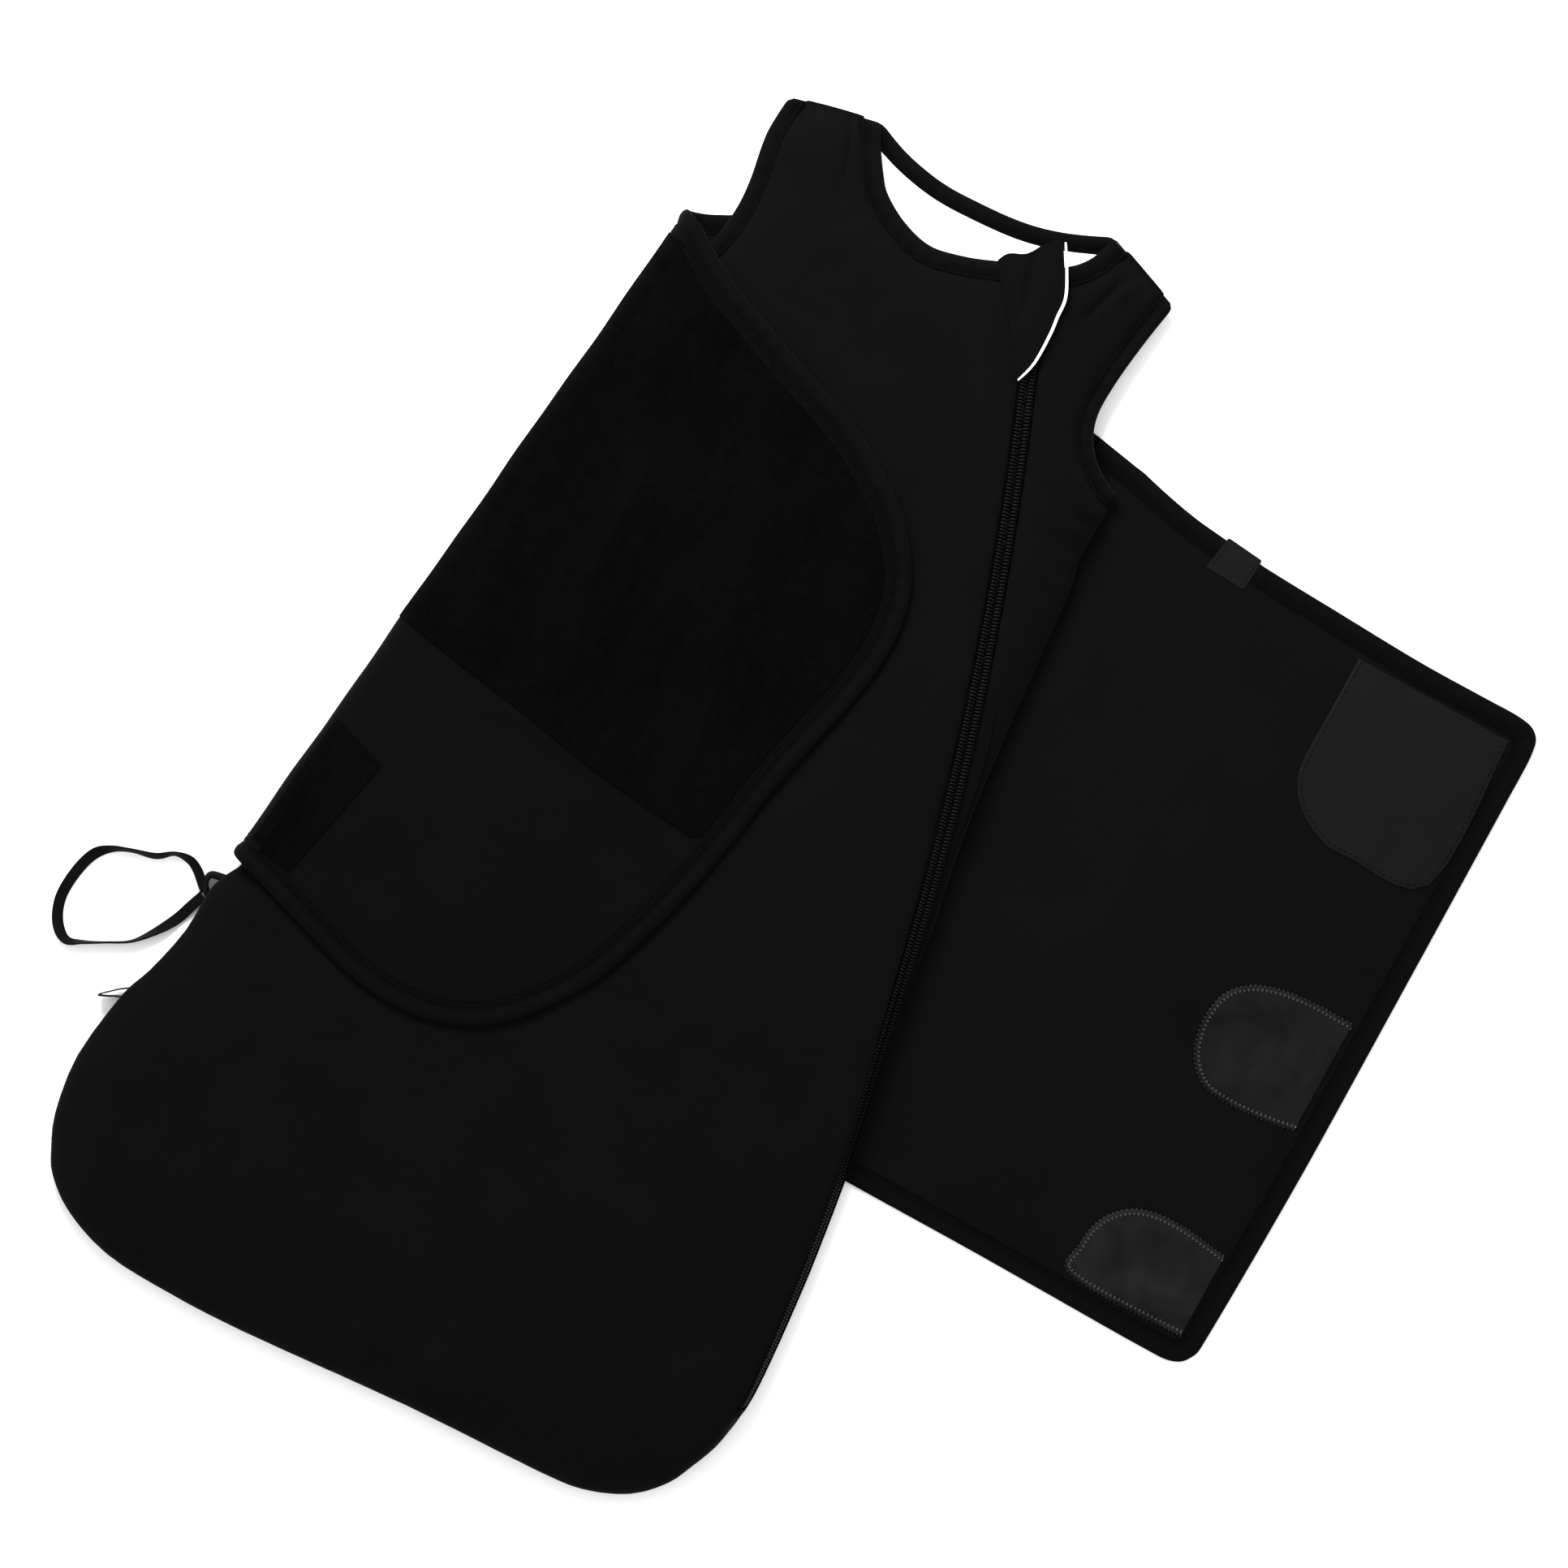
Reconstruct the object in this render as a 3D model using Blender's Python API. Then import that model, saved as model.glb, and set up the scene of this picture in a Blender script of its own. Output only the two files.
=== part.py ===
"""Baby sleep-bag swaddler: a wearable sleeping bag, lying flat on its back.

The bag opens with a long curved coil zip, its slider parked under a small
guard flap at the neckline.  A swaddle band runs behind the bag: its left wing
is folded over the front, its right wing lies open beside the bag with three
hook patches that grip the loop patches of the left wing.

Garment coordinates are millimetres: x across the bag from its centre line,
y towards the neck, z up from the floor.  place() turns them into metres.
"""

import math

import bmesh
import bpy

# ---------------------------------------------------------------- dimensions
SHIFT_X, SHIFT_Y = -88.9, 50.55  # garment centre line to the middle of the whole outline

# layer heights from the floor, bottom and top of each
Z_BAND = (0.0, 1.6)
Z_BACK_OUTER = (1.9, 2.9)
Z_BACK_WADDING = (3.2, 5.2)
Z_BACK_LINING = (5.5, 6.3)
Z_FRONT_LINING = (13.7, 14.5)
Z_FRONT_WADDING = (14.8, 16.8)
Z_FRONT_OUTER = (17.1, 18.1)
Z_WING_FOLDED = (18.4, 20.0)
Z_TAPE = (15.0, 15.6)
Z_COIL = (15.9, 18.3)
Z_SLIDER_LOW = (13.7, 14.7)
Z_SLIDER_TOP = (18.6, 19.6)
Z_PULL = (19.9, 20.9)
Z_GUARD = (21.2, 22.4)

GAP = 0.3
RIM = 1.6  # thickness of the side seam wall
WING_T = 1.6
NECK_BIND = 10.0  # widths of the bindings
ARM_BIND = 8.5
LEFT_BIND = 12.5
RIGHT_BIND = 11.5
BIND_T = 2.2  # a wing binding is a little thicker than its wing

# the zip runs along one circular arc, and the slider turns about its centre
ZIP_C = (-1555.0, -455.0)
ZIP_R = 1747.5
ZIP_TOP_Y, ZIP_LOW_Y = 262.0, -312.0
SLIDER_Y = 248.0
COIL_IN, COIL_OUT = 0.65, 4.0
TAPE_IN, TAPE_OUT = 0.75, 12.0
ZIP_SLOT = 5.5  # half the opening in the outer fabric over the coils
LOW_EDGE = 7.4  # the bag's edge beyond the zip, where the zip turns onto the side

# fold line of the left wing and hinge line of the right wing, top and bottom
FOLD = ((-124.0, 200.0), (-166.0, -186.0))
HINGE = ((134.7, 196.0), (184.0, -184.0))
FOLD_LOW_Z, FOLD_TOP_Z = 1.4, 20.0
HINGE_Z = 12.8

# ------------------------------------------------------------------- outlines
SHOULDER_L = [(-108, 273), (-85, 279), (-62, 284)]
BACK_NECK = [(-62, 284), (-43, 277), (-22, 273), (-2, 273), (22, 275), (42, 280), (66, 290)]
SHOULDER_R = [(66, 290), (87, 282), (108, 274)]
ARMHOLE_R = [(108, 274), (104, 251), (101, 226), (101, 208), (106, 195), (116, 185), (129, 179)]
SIDE_R = [(129, 179), (127, 146), (131, 124), (136, 65), (141, 15), (145, -13)]
HEM = [(188, -334), (180, -345), (171, -356), (156, -368), (135, -377), (110, -380), (39, -383), (-50, -390),
       (-94, -391), (-127, -389), (-153, -380), (-169, -368), (-176, -357), (-183, -340), (-187, -310),
       (-182, -273), (-176, -256), (-170, -230), (-169, -205), (-162, -190)]
SIDE_L = [(-162, -190), (-157.5, -150), (-152, -100), (-141, 0), (-130, 100), (-122, 176)]
ARMHOLE_L = [(-122, 176), (-112, 184), (-106, 195), (-104, 212), (-105, 228), (-109, 252), (-108, 273)]
FRONT_NECK_L = [(-62, 284), (-57, 274), (-49, 262), (-42, 254), (-28, 246), (-12, 242), (4, 245), (21, 251), (36.5, 257.5)]
FRONT_NECK_R = [(48, 261), (56, 268), (61, 275), (64, 283), (66, 290)]
LEFT_WING = [(-122.5, 201), (-117, 197), (-90, 180), (-63, 169), (-32, 157), (-2, 146), (24, 131), (40, 119),
             (53, 104), (62, 88), (67, 64), (65, 35), (57, 0), (50, -31), (45, -63), (37, -100), (29, -127),
             (18, -156), (0, -182), (-18, -199), (-40, -209), (-65, -212), (-90, -209), (-123, -199),
             (-151, -190), (-165, -186)]
LOOP_BORDER = [(25, -70), (-28, -65), (-73, -57), (-131, -48), (-147, -44)]
LOOP_SMALL = [(-153, -102), (-123, -112), (-139, -173), (-160, -170)]
RIGHT_WING = [(133, 196.5), (151, 192), (169, 188.5), (187, 186.5), (209, 184), (252, 182), (299, 180), (335, 180),
              (356, 180), (366, 177), (370, 167), (370.5, 134), (371, 7), (371, -75), (369, -160), (367, -175),
              (359, -182), (340, -183), (293, -182.5), (247, -182), (202, -182), (180, -182)]
BAND_TOP = [(-122, 200), (-104, 212), (-60, 214), (0, 212), (60, 208), (105, 201), (134, 196)]
HOOK_LARGE = [(272, 167), (272, 145), (272, 112), (275, 98), (284, 87), (299, 79), (314, 78), (357, 86), (357, 167)]
HOOK_MIDDLE = [(357, 7), (335, 7), (318, 5), (304, 0), (294, -10), (291, -26), (295, -43), (305, -54), (318, -57),
               (338, -56), (357, -53)]
HOOK_SMALL = [(357, -124), (333, -121), (315, -122), (303, -127), (294, -138), (291, -154), (295, -169), (357, -169)]
LABEL_TAB = [(184, 170), (187, 188), (207, 186), (206, 169)]
GUARD = [(56, 203), (21, 251), (24, 256), (32, 260), (37, 268), (41, 273), (45, 273.5), (52, 262), (58, 250), (59, 240),
         (60, 231), (60, 215)]
GUARD_EDGE = [(45, 273.5), (52, 262), (58, 250), (59, 240), (60, 231), (60, 215), (57, 204)]

# route of the elastic, leaving the anchor tab and coming back to it
ELASTIC = [(-177.2, -206.5, 3.15), (-183, -205, 3.0), (-189, -202.5, 2.9), (-196, -202.5, 2.9), (-203, -207, 2.9),
           (-212, -209, 2.9), (-222, -213, 2.9), (-229, -222, 2.9), (-233, -234, 2.9), (-233, -247, 2.9),
           (-229, -257, 2.9), (-222, -262.5, 2.9), (-214, -261.5, 2.9), (-202, -255, 2.9), (-191, -247, 2.9),
           (-187, -235, 2.9), (-185.5, -224, 3.0), (-182.5, -217.8, 3.1), (-177.2, -216.2, 3.15)]
ELASTIC_WIDTH = 5.6


# -------------------------------------------------------------------- helpers
def place(x, y, z=0.0):
    return ((x + SHIFT_X) / 1000, (y + SHIFT_Y) / 1000, z / 1000)


def clear_scene():
    for obj in list(bpy.data.objects):
        bpy.data.objects.remove(obj, do_unlink=True)


def collection(name):
    made = bpy.data.collections.new(name)
    bpy.context.scene.collection.children.link(made)
    return made


def smooth(points, per=3):
    """An open curve through the points, as a Catmull-Rom spline."""
    n = len(points)
    out = []
    for i in range(n - 1):
        p0, p1, p2, p3 = points[max(i - 1, 0)], points[i], points[i + 1], points[min(i + 2, n - 1)]
        for k in range(per):
            t = k / per
            out.append(tuple(
                0.5 * (2 * b + (c - a) * t + (2 * a - 5 * b + 4 * c - d) * t * t + (3 * b - a - 3 * c + d) * t ** 3)
                for a, b, c, d in zip(p0, p1, p2, p3)))
    out.append(tuple(float(v) for v in points[-1]))
    return out


def zip_angle(y):
    return math.asin((y - ZIP_C[1]) / ZIP_R)


def zip_point(y, off=0.0):
    """A point beside the zip's centre line, off mm towards the bag's right edge."""
    a = zip_angle(y)
    return (ZIP_C[0] + (ZIP_R + off) * math.cos(a), ZIP_C[1] + (ZIP_R + off) * math.sin(a))


def zip_line(off, y0, y1, count=30):
    return [zip_point(y0 + (y1 - y0) * i / (count - 1), off) for i in range(count)]


def along(p, q, u, v):
    """The point a share u of the way from p to q, moved v mm to the left of that direction."""
    dx, dy = q[0] - p[0], q[1] - p[1]
    size = math.hypot(dx, dy)
    return (p[0] + dx * u - dy / size * v, p[1] + dy * u + dx / size * v)


def offset_open(path, d):
    """The path moved d mm to its right."""
    out = []
    for i, p in enumerate(path):
        a, b = path[max(i - 1, 0)], path[min(i + 1, len(path) - 1)]
        dx, dy = b[0] - a[0], b[1] - a[1]
        size = math.hypot(dx, dy)
        out.append((p[0] + dy / size * d, p[1] - dx / size * d))
    return out


def untangle(points, closed=True, reach=16):
    """Cuts off the small loops that an offset makes at tight corners."""
    points = list(points)
    i = 0
    while i < len(points) - (0 if closed else 1):
        n = len(points)
        for j in range(min(reach, n - 2), 1, -1):
            if not closed and i + j + 1 >= n:
                continue
            a, b = points[i], points[(i + 1) % n]
            c, d = points[(i + j) % n], points[(i + j + 1) % n]
            r, s = (b[0] - a[0], b[1] - a[1]), (d[0] - c[0], d[1] - c[1])
            det = r[0] * s[1] - r[1] * s[0]
            if abs(det) < 1e-9:
                continue
            t = ((c[0] - a[0]) * s[1] - (c[1] - a[1]) * s[0]) / det
            u = ((c[0] - a[0]) * r[1] - (c[1] - a[1]) * r[0]) / det
            if 0 < t < 1 and 0 < u < 1:
                drop = {(i + k) % n for k in range(1, j + 1)}
                meet = (a[0] + r[0] * t, a[1] + r[1] * t)
                kept = [p for k, p in enumerate(points) if k not in drop]
                kept.insert(kept.index(a) + 1, meet)
                points = kept
                i = max(kept.index(a) - 1, -1)
                break
        i += 1
    return points


def strip(path, near, far):
    """A closed ribbon between two offsets of a path."""
    return untangle(offset_open(path, near), False) + untangle(offset_open(path, far), False)[::-1]


def ring_of(runs):
    """Joins runs of (points, kind) into one clockwise ring, with a kind for each edge."""
    points, kinds = [], []
    for run, kind in runs:
        for p in run[:-1]:
            points.append(p)
            kinds.append(kind)
        last = run[-1]
        nxt = runs[(next(i for i, r in enumerate(runs) if r[0] is run) + 1) % len(runs)][0][0]
        if math.hypot(last[0] - nxt[0], last[1] - nxt[1]) > 0.01:
            points.append(last)
            kinds.append(kind)
    return points, kinds


def inset(ring, amounts):
    """Moves each edge of a clockwise ring inwards by its kind's amount."""
    points, kinds = ring
    n = len(points)
    out = []
    for i in range(n):
        a, b, c = points[i - 1], points[i], points[(i + 1) % n]
        d0, d1 = amounts[kinds[i - 1]], amounts[kinds[i]]
        e0, e1 = (b[0] - a[0], b[1] - a[1]), (c[0] - b[0], c[1] - b[1])
        l0, l1 = math.hypot(*e0), math.hypot(*e1)
        n0, n1 = (e0[1] / l0, -e0[0] / l0), (e1[1] / l1, -e1[0] / l1)
        cross = (e0[0] * e1[1] - e0[1] * e1[0]) / (l0 * l1)
        if abs(cross) > 0.3:
            det = n0[0] * n1[1] - n0[1] * n1[0]
            out.append((b[0] + (d0 * n1[1] - d1 * n0[1]) / det, b[1] + (d1 * n0[0] - d0 * n1[0]) / det))
        elif abs(d0 - d1) > 1e-6:
            out.append((b[0] + n0[0] * d0, b[1] + n0[1] * d0))
            out.append((b[0] + n1[0] * d1, b[1] + n1[1] * d1))
        else:
            m = (n0[0] + n1[0], n0[1] + n1[1])
            size = math.hypot(*m)
            out.append((b[0] + m[0] / size * d0, b[1] + m[1] / size * d0))
    return untangle(out)


def material(name, rgb, rough, sheen=0.0, metal=0.0):
    mat = bpy.data.materials.new(name)
    mat.use_nodes = True
    bsdf = mat.node_tree.nodes["Principled BSDF"]
    bsdf.inputs["Base Color"].default_value = (*rgb, 1)
    bsdf.inputs["Roughness"].default_value = rough
    bsdf.inputs["Metallic"].default_value = metal
    bsdf.inputs["Sheen Weight"].default_value = sheen
    return mat


def plate(name, outline, z, mat):
    """A flat piece: a filled outline, extruded to its thickness."""
    curve = bpy.data.curves.new(name, "CURVE")
    curve.dimensions = "2D"
    curve.fill_mode = "BOTH"
    curve.extrude = (z[1] - z[0]) / 2000
    spline = curve.splines.new("POLY")
    spline.points.add(len(outline) - 1)
    for point, (x, y) in zip(spline.points, outline):
        px, py, _ = place(x, y)
        point.co = (px, py, 0, 1)
    spline.use_cyclic_u = True
    curve.materials.append(mat)
    obj = bpy.data.objects.new(name, curve)
    obj.location.z = (z[0] + z[1]) / 2000
    PART.objects.link(obj)
    return obj


def as_mesh(obj):
    """The same piece as a welded mesh object, ready for a Boolean."""
    name, matrix = obj.name, obj.matrix_basis.copy()
    bpy.context.view_layer.update()
    graph = bpy.context.evaluated_depsgraph_get()
    mesh = bpy.data.meshes.new_from_object(obj.evaluated_get(graph))
    bm = bmesh.new()
    bm.from_mesh(mesh)
    bmesh.ops.remove_doubles(bm, verts=bm.verts, dist=1e-6)
    bmesh.ops.recalc_face_normals(bm, faces=bm.faces)
    bm.to_mesh(mesh)
    bm.free()
    homes = list(obj.users_collection)
    bpy.data.objects.remove(obj, do_unlink=True)
    made = bpy.data.objects.new(name, mesh)
    made.matrix_basis = matrix
    for home in homes:
        home.objects.link(made)
    return made


def as_cutter(obj):
    made = as_mesh(obj)
    PART.objects.unlink(made)
    CUTTERS.objects.link(made)
    made.hide_render = True
    made.display_type = "WIRE"
    return made


def boolean(obj, other, operation="DIFFERENCE"):
    modifier = obj.modifiers.new(other.name, "BOOLEAN")
    modifier.operation = operation
    modifier.solver = "EXACT"
    modifier.object = other
    return obj


def clipped(points, p, q):
    """The part of an outline that lies to the left of the line from p to q."""
    def side(v):
        return (q[0] - p[0]) * (v[1] - p[1]) - (q[1] - p[1]) * (v[0] - p[0])
    out = []
    for i, b in enumerate(points):
        a = points[i - 1]
        sa, sb = side(a), side(b)
        if (sa > 0) != (sb > 0):
            t = sa / (sa - sb)
            out.append((a[0] + (b[0] - a[0]) * t, a[1] + (b[1] - a[1]) * t))
        if sb > 0:
            out.append(b)
    return out


def extended(path, start=0.0, end=0.0):
    """The path with straight tangent pieces added at its ends."""
    (ax, ay), (bx, by), (cx, cy), (dx, dy) = path[0], path[1], path[-2], path[-1]
    first, last = math.hypot(ax - bx, ay - by), math.hypot(dx - cx, dy - cy)
    return ([(ax + (ax - bx) / first * start, ay + (ay - by) / first * start)] if start else []) + list(path) + \
        ([(dx + (dx - cx) / last * end, dy + (dy - cy) / last * end)] if end else [])


def box_outline(x0, x1, y0, y1):
    return [(x0, y0), (x0, y1), (x1, y1), (x1, y0)]


def pivot(name, x, y, z, children):
    """An empty on a joint's axis that carries the pieces which turn there."""
    empty = bpy.data.objects.new(name, None)
    empty.empty_display_size = 0.02
    empty.location = place(x, y, z)
    PART.objects.link(empty)
    bpy.context.view_layer.update()
    for child in children:
        child.parent = empty
        child.matrix_parent_inverse = empty.matrix_world.inverted()
    return empty


clear_scene()
PART = collection("sleep_bag_swaddler")
CUTTERS = collection("cutters")
CUTTERS.hide_render = True

JERSEY = material("jersey_black", (0.0065, 0.0062, 0.0066), 0.85, 0.3)
WING = material("wing_jersey_black", (0.0062, 0.006, 0.0063), 0.85, 0.3)
BINDING = material("binding_black", (0.006, 0.006, 0.0062), 0.8, 0.2)
VELOUR = material("loop_velour_black", (0.004, 0.004, 0.0042), 0.95, 0.5)
HOOKS = material("hook_tape_black", (0.014, 0.0145, 0.016), 0.55, 0.0)
LINING = material("lining_white", (0.82, 0.82, 0.82), 0.9, 0.3)
WADDING = material("wadding_white", (0.8, 0.8, 0.79), 0.95, 0.0)
TAPE = material("zip_tape_black", (0.006, 0.006, 0.0065), 0.75, 0.0)
COIL = material("zip_coil_black", (0.012, 0.012, 0.013), 0.35, 0.0)
METAL = material("zip_slider_black", (0.02, 0.02, 0.021), 0.35, 0.0, 0.8)
PIPING = material("piping_white", (0.8, 0.8, 0.8), 0.8, 0.2)
LABEL = material("label_grey", (0.06, 0.06, 0.062), 0.7, 0.0)
ELASTIC_MAT = material("elastic_black", (0.008, 0.008, 0.0085), 0.7, 0.0)

# ------------------------------------------------------------------ bag, back
side_r_low = zip_line(LOW_EDGE, -34, -318, 16)
side_r = smooth(SIDE_R) + side_r_low
hem = [side_r_low[-1]] + smooth(HEM)
side_l = smooth(SIDE_L, 2)
back_ring = ring_of([
    (smooth(SHOULDER_L, 2), "side"),
    (smooth(BACK_NECK), "neck"),
    (smooth(SHOULDER_R, 2), "side"),
    (smooth(ARMHOLE_R), "arm"),
    (side_r, "side"),
    (hem, "side"),
    (side_l, "side"),
    (smooth(ARMHOLE_L), "arm"),
])
FREE = {"side": 0, "neck": 0, "arm": 0, "zip": 0, "cross": 0}
LAYER = {"side": 2.6, "neck": 0, "arm": 0, "zip": 0, "cross": 3}


def edge_room(name, path, width, ends=(14, 14)):
    """A cutter that takes away all within a binding's width of an edge."""
    long_path = extended(path, *ends)
    return as_cutter(plate(name, strip(long_path, -9, width + GAP), (-5, 30), JERSEY))


neck_back_room = edge_room("cut_neck_back", smooth(BACK_NECK), NECK_BIND)
neck_left_room = edge_room("cut_neck_front_left", smooth(FRONT_NECK_L), NECK_BIND)
neck_right_room = edge_room("cut_neck_front_right", smooth(FRONT_NECK_R), NECK_BIND)
arm_left_room = edge_room("cut_armhole_left", smooth(ARMHOLE_L), ARM_BIND, (4, 12))
arm_right_room = edge_room("cut_armhole_right", smooth(ARMHOLE_R), ARM_BIND, (12, 4))
slot_room = as_cutter(plate("cut_zip_slot", zip_line(-ZIP_SLOT - GAP, 225, 290, 8) + zip_line(ZIP_SLOT + GAP, 290, 225, 8),
                            (-5, 30), JERSEY))


def trimmed(obj, *rooms):
    for room in rooms:
        boolean(obj, room)
    return obj


BACK_ROOMS = (neck_back_room, arm_left_room, arm_right_room)
LEFT_ROOMS = (neck_left_room, arm_left_room)
RIGHT_ROOMS = (neck_right_room, arm_right_room)

back_outer = as_mesh(plate("back_outer_panel", inset(back_ring, FREE), (0, Z_BACK_OUTER[1]), JERSEY))
trimmed(back_outer, *BACK_ROOMS)
band_recess = as_cutter(plate("cut_band_recess", box_outline(-300, 300, -186.6, 400), (-2, Z_BACK_OUTER[0]), JERSEY))
boolean(back_outer, band_recess)
trimmed(as_mesh(plate("back_wadding", inset(back_ring, LAYER), Z_BACK_WADDING, WADDING)), *BACK_ROOMS)
trimmed(as_mesh(plate("back_lining", inset(back_ring, LAYER), Z_BACK_LINING, LINING)), *BACK_ROOMS)
plate("neck_binding_back", strip(smooth(BACK_NECK), 0, NECK_BIND), (Z_BACK_OUTER[0], Z_BACK_LINING[1]), BINDING)

# ----------------------------------------------------------------- bag, front
# Each outer panel is a lid: its flat top, and a wall down the side seam and hem.
left_ring = ring_of([
    (smooth(SHOULDER_L, 2), "side"),
    (smooth(FRONT_NECK_L), "neck"),
    (zip_line(-ZIP_SLOT, 257, -314, 34), "zip"),
    ([zip_point(-314, -ZIP_SLOT), (zip_point(-318, LOW_EDGE)[0], -317.0)], "cross"),
    (hem, "side"),
    (side_l, "side"),
    (smooth(ARMHOLE_L), "arm"),
])
right_ring = ring_of([
    (smooth(FRONT_NECK_R), "neck"),
    (smooth(SHOULDER_R, 2), "side"),
    (smooth(ARMHOLE_R), "arm"),
    (smooth(SIDE_R) + zip_line(LOW_EDGE, -34, -312, 16), "side"),
    ([zip_point(-312, LOW_EDGE), zip_point(-312, ZIP_SLOT)], "cross"),
    (zip_line(ZIP_SLOT, -312, 258, 34), "zip"),
])


def lid(name, ring, mat, rooms):
    top = as_mesh(plate(name, inset(ring, FREE), (Z_BACK_OUTER[1] + GAP, Z_FRONT_OUTER[1]), mat))
    inside = inset(ring, {"side": RIM, "neck": -6, "arm": -6, "zip": -4, "cross": -0.2})
    boolean(top, as_cutter(plate("cut_" + name, inside, (0, Z_FRONT_OUTER[0]), mat)))
    return trimmed(top, *rooms)


lid("front_left_outer", left_ring, JERSEY, LEFT_ROOMS)
lid("front_right_outer", right_ring, JERSEY, RIGHT_ROOMS)
trimmed(as_mesh(plate("front_left_wadding", inset(left_ring, {**LAYER, "zip": TAPE_OUT - ZIP_SLOT + GAP}),
                      Z_FRONT_WADDING, WADDING)), *LEFT_ROOMS)
trimmed(as_mesh(plate("front_left_lining", inset(left_ring, {**LAYER, "zip": 2.2}), Z_FRONT_LINING, LINING)), *LEFT_ROOMS)


def right_layer(name, off, low_y, z, mat):
    """A layer of the narrow front right panel, which ends where the zip meets the side."""
    neck = smooth(FRONT_NECK_R)
    side = [p for p in smooth(SIDE_R) if p[1] > low_y]
    start = zip_point(250, off)
    runs = ring_of([
        ([start] + neck[3:], "neck"),
        (smooth(SHOULDER_R, 2), "side"),
        (smooth(ARMHOLE_R), "arm"),
        (side, "side"),
        (zip_line(off, low_y, 250, 14), "zip"),
    ])
    return trimmed(as_mesh(plate(name, inset(runs, LAYER), z, mat)), *RIGHT_ROOMS)


right_layer("front_right_wadding", TAPE_OUT + GAP, 62, Z_FRONT_WADDING, WADDING)
right_layer("front_right_lining", ZIP_SLOT + 2.2, 34, Z_FRONT_LINING, LINING)

FRONT_BIND_Z = (Z_FRONT_LINING[0], Z_FRONT_OUTER[1])
for side, path in (("left", FRONT_NECK_L), ("right", FRONT_NECK_R)):
    trimmed(as_mesh(plate("neck_binding_front_" + side, strip(smooth(path), 0, NECK_BIND), FRONT_BIND_Z, BINDING)), slot_room)


def armhole(name, path, low, high):
    """One binding round an armhole: a strip on each layer, joined at the armpit and the shoulder."""
    ring = as_mesh(plate(name, strip(path, 0, ARM_BIND), (Z_BACK_OUTER[0], Z_FRONT_OUTER[1]), BINDING))
    mouth = plate("cut_" + name, box_outline(-160, 160, low, high), (Z_BACK_LINING[1], Z_FRONT_LINING[0]), BINDING)
    return boolean(ring, as_cutter(mouth))


armhole("armhole_binding_right", smooth(ARMHOLE_R), 186, 268)
armhole("armhole_binding_left", smooth(ARMHOLE_L), 186, 267)

# ------------------------------------------------------------------------ zip


def right_tape_width(y):
    share = min(max((y + 20) / 60, 0.0), 1.0)
    return 5.2 + (TAPE_OUT - 5.2) * share


plate("zip_tape_left", zip_line(-TAPE_IN, ZIP_TOP_Y - 8, ZIP_LOW_Y, 34) + zip_line(-TAPE_OUT, ZIP_LOW_Y, ZIP_TOP_Y - 18, 34),
      Z_TAPE, TAPE)
right_edge = [zip_point(y, right_tape_width(y)) for y in [ZIP_LOW_Y + i * (ZIP_TOP_Y - 18 - ZIP_LOW_Y) / 40 for i in range(41)]]
plate("zip_tape_right", zip_line(TAPE_IN, ZIP_TOP_Y - 8, ZIP_LOW_Y, 34) + right_edge, Z_TAPE, TAPE)
plate("zip_coil_left", zip_line(-COIL_OUT, -305, 256, 50) + zip_line(-COIL_IN, 256, -305, 50), Z_COIL, COIL)
plate("zip_coil_right", zip_line(COIL_IN, -305, 256, 50) + zip_line(COIL_OUT, 256, -305, 50), Z_COIL, COIL)
for side, sign in (("left", -1), ("right", 1)):
    plate("zip_top_stop_" + side, [zip_point(y, sign * r) for y, r in
                                   ((256.5, COIL_IN), (260.5, COIL_IN), (260.5, COIL_OUT - 0.4), (256.5, COIL_OUT - 0.4))],
          Z_COIL, METAL)
plate("zip_bottom_stop", [zip_point(y, r) for y, r in ((-310.5, -3.8), (-306, -3.8), (-306, 3.8), (-310.5, 3.8))], Z_COIL, METAL)


def on_zip(points):
    """Points given as (along the zip towards the neck, across it), about the slider's place."""
    turn = ZIP_R * zip_angle(SLIDER_Y)
    made = []
    for t, r in points:
        a = (turn + t) / ZIP_R
        made.append((ZIP_C[0] + (ZIP_R + r) * math.cos(a), ZIP_C[1] + (ZIP_R + r) * math.sin(a)))
    return made


SLIDER_SHAPE = [(8, -4.6), (7, -5.3), (3, -5.2), (-3, -4.4), (-7, -4.3), (-8, -3.4), (-8, 3.4), (-7, 4.3), (-3, 4.4), (3, 5.2),
                (7, 5.3), (8, 4.6), (8, 1.5), (7, 0), (8, -1.5)]
slider = as_mesh(plate("zip_slider", on_zip(SLIDER_SHAPE), Z_SLIDER_TOP, METAL))
slider_low = as_cutter(plate("join_slider_low", on_zip(SLIDER_SHAPE), Z_SLIDER_LOW, METAL))
slider_post = as_cutter(plate("join_slider_post", on_zip([(3, -0.35), (6, -0.35), (6, 0.35), (3, 0.35)]),
                              (Z_SLIDER_LOW[1] - 0.5, Z_SLIDER_TOP[0] + 0.5), METAL))
slider_lug = as_cutter(plate("join_slider_lug", on_zip([(-3, -0.9), (-3, 0.9), (1.5, 0.9), (1.5, -0.9)]),
                             (Z_SLIDER_TOP[1] - 0.4, Z_PULL[1]), METAL))
for joined in (slider_post, slider_low, slider_lug):
    boolean(slider, joined, "UNION")
pull = as_mesh(plate("zip_pull", on_zip([(3.5, -2.2), (3.5, 2.2), (-4.5, 2.6), (-18, 3.2), (-25, 3.0), (-27, 1.6), (-27, -1.6),
                                         (-25, -3.0), (-18, -3.2), (-4.5, -2.6)]), Z_PULL, METAL))
boolean(pull, as_cutter(plate("cut_pull_eye", on_zip([(2.2, -1.25), (2.2, 1.25), (-4.2, 1.25), (-4.2, -1.25)]),
                              (Z_PULL[0] - 1, Z_PULL[1] + 1), METAL)))
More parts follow.
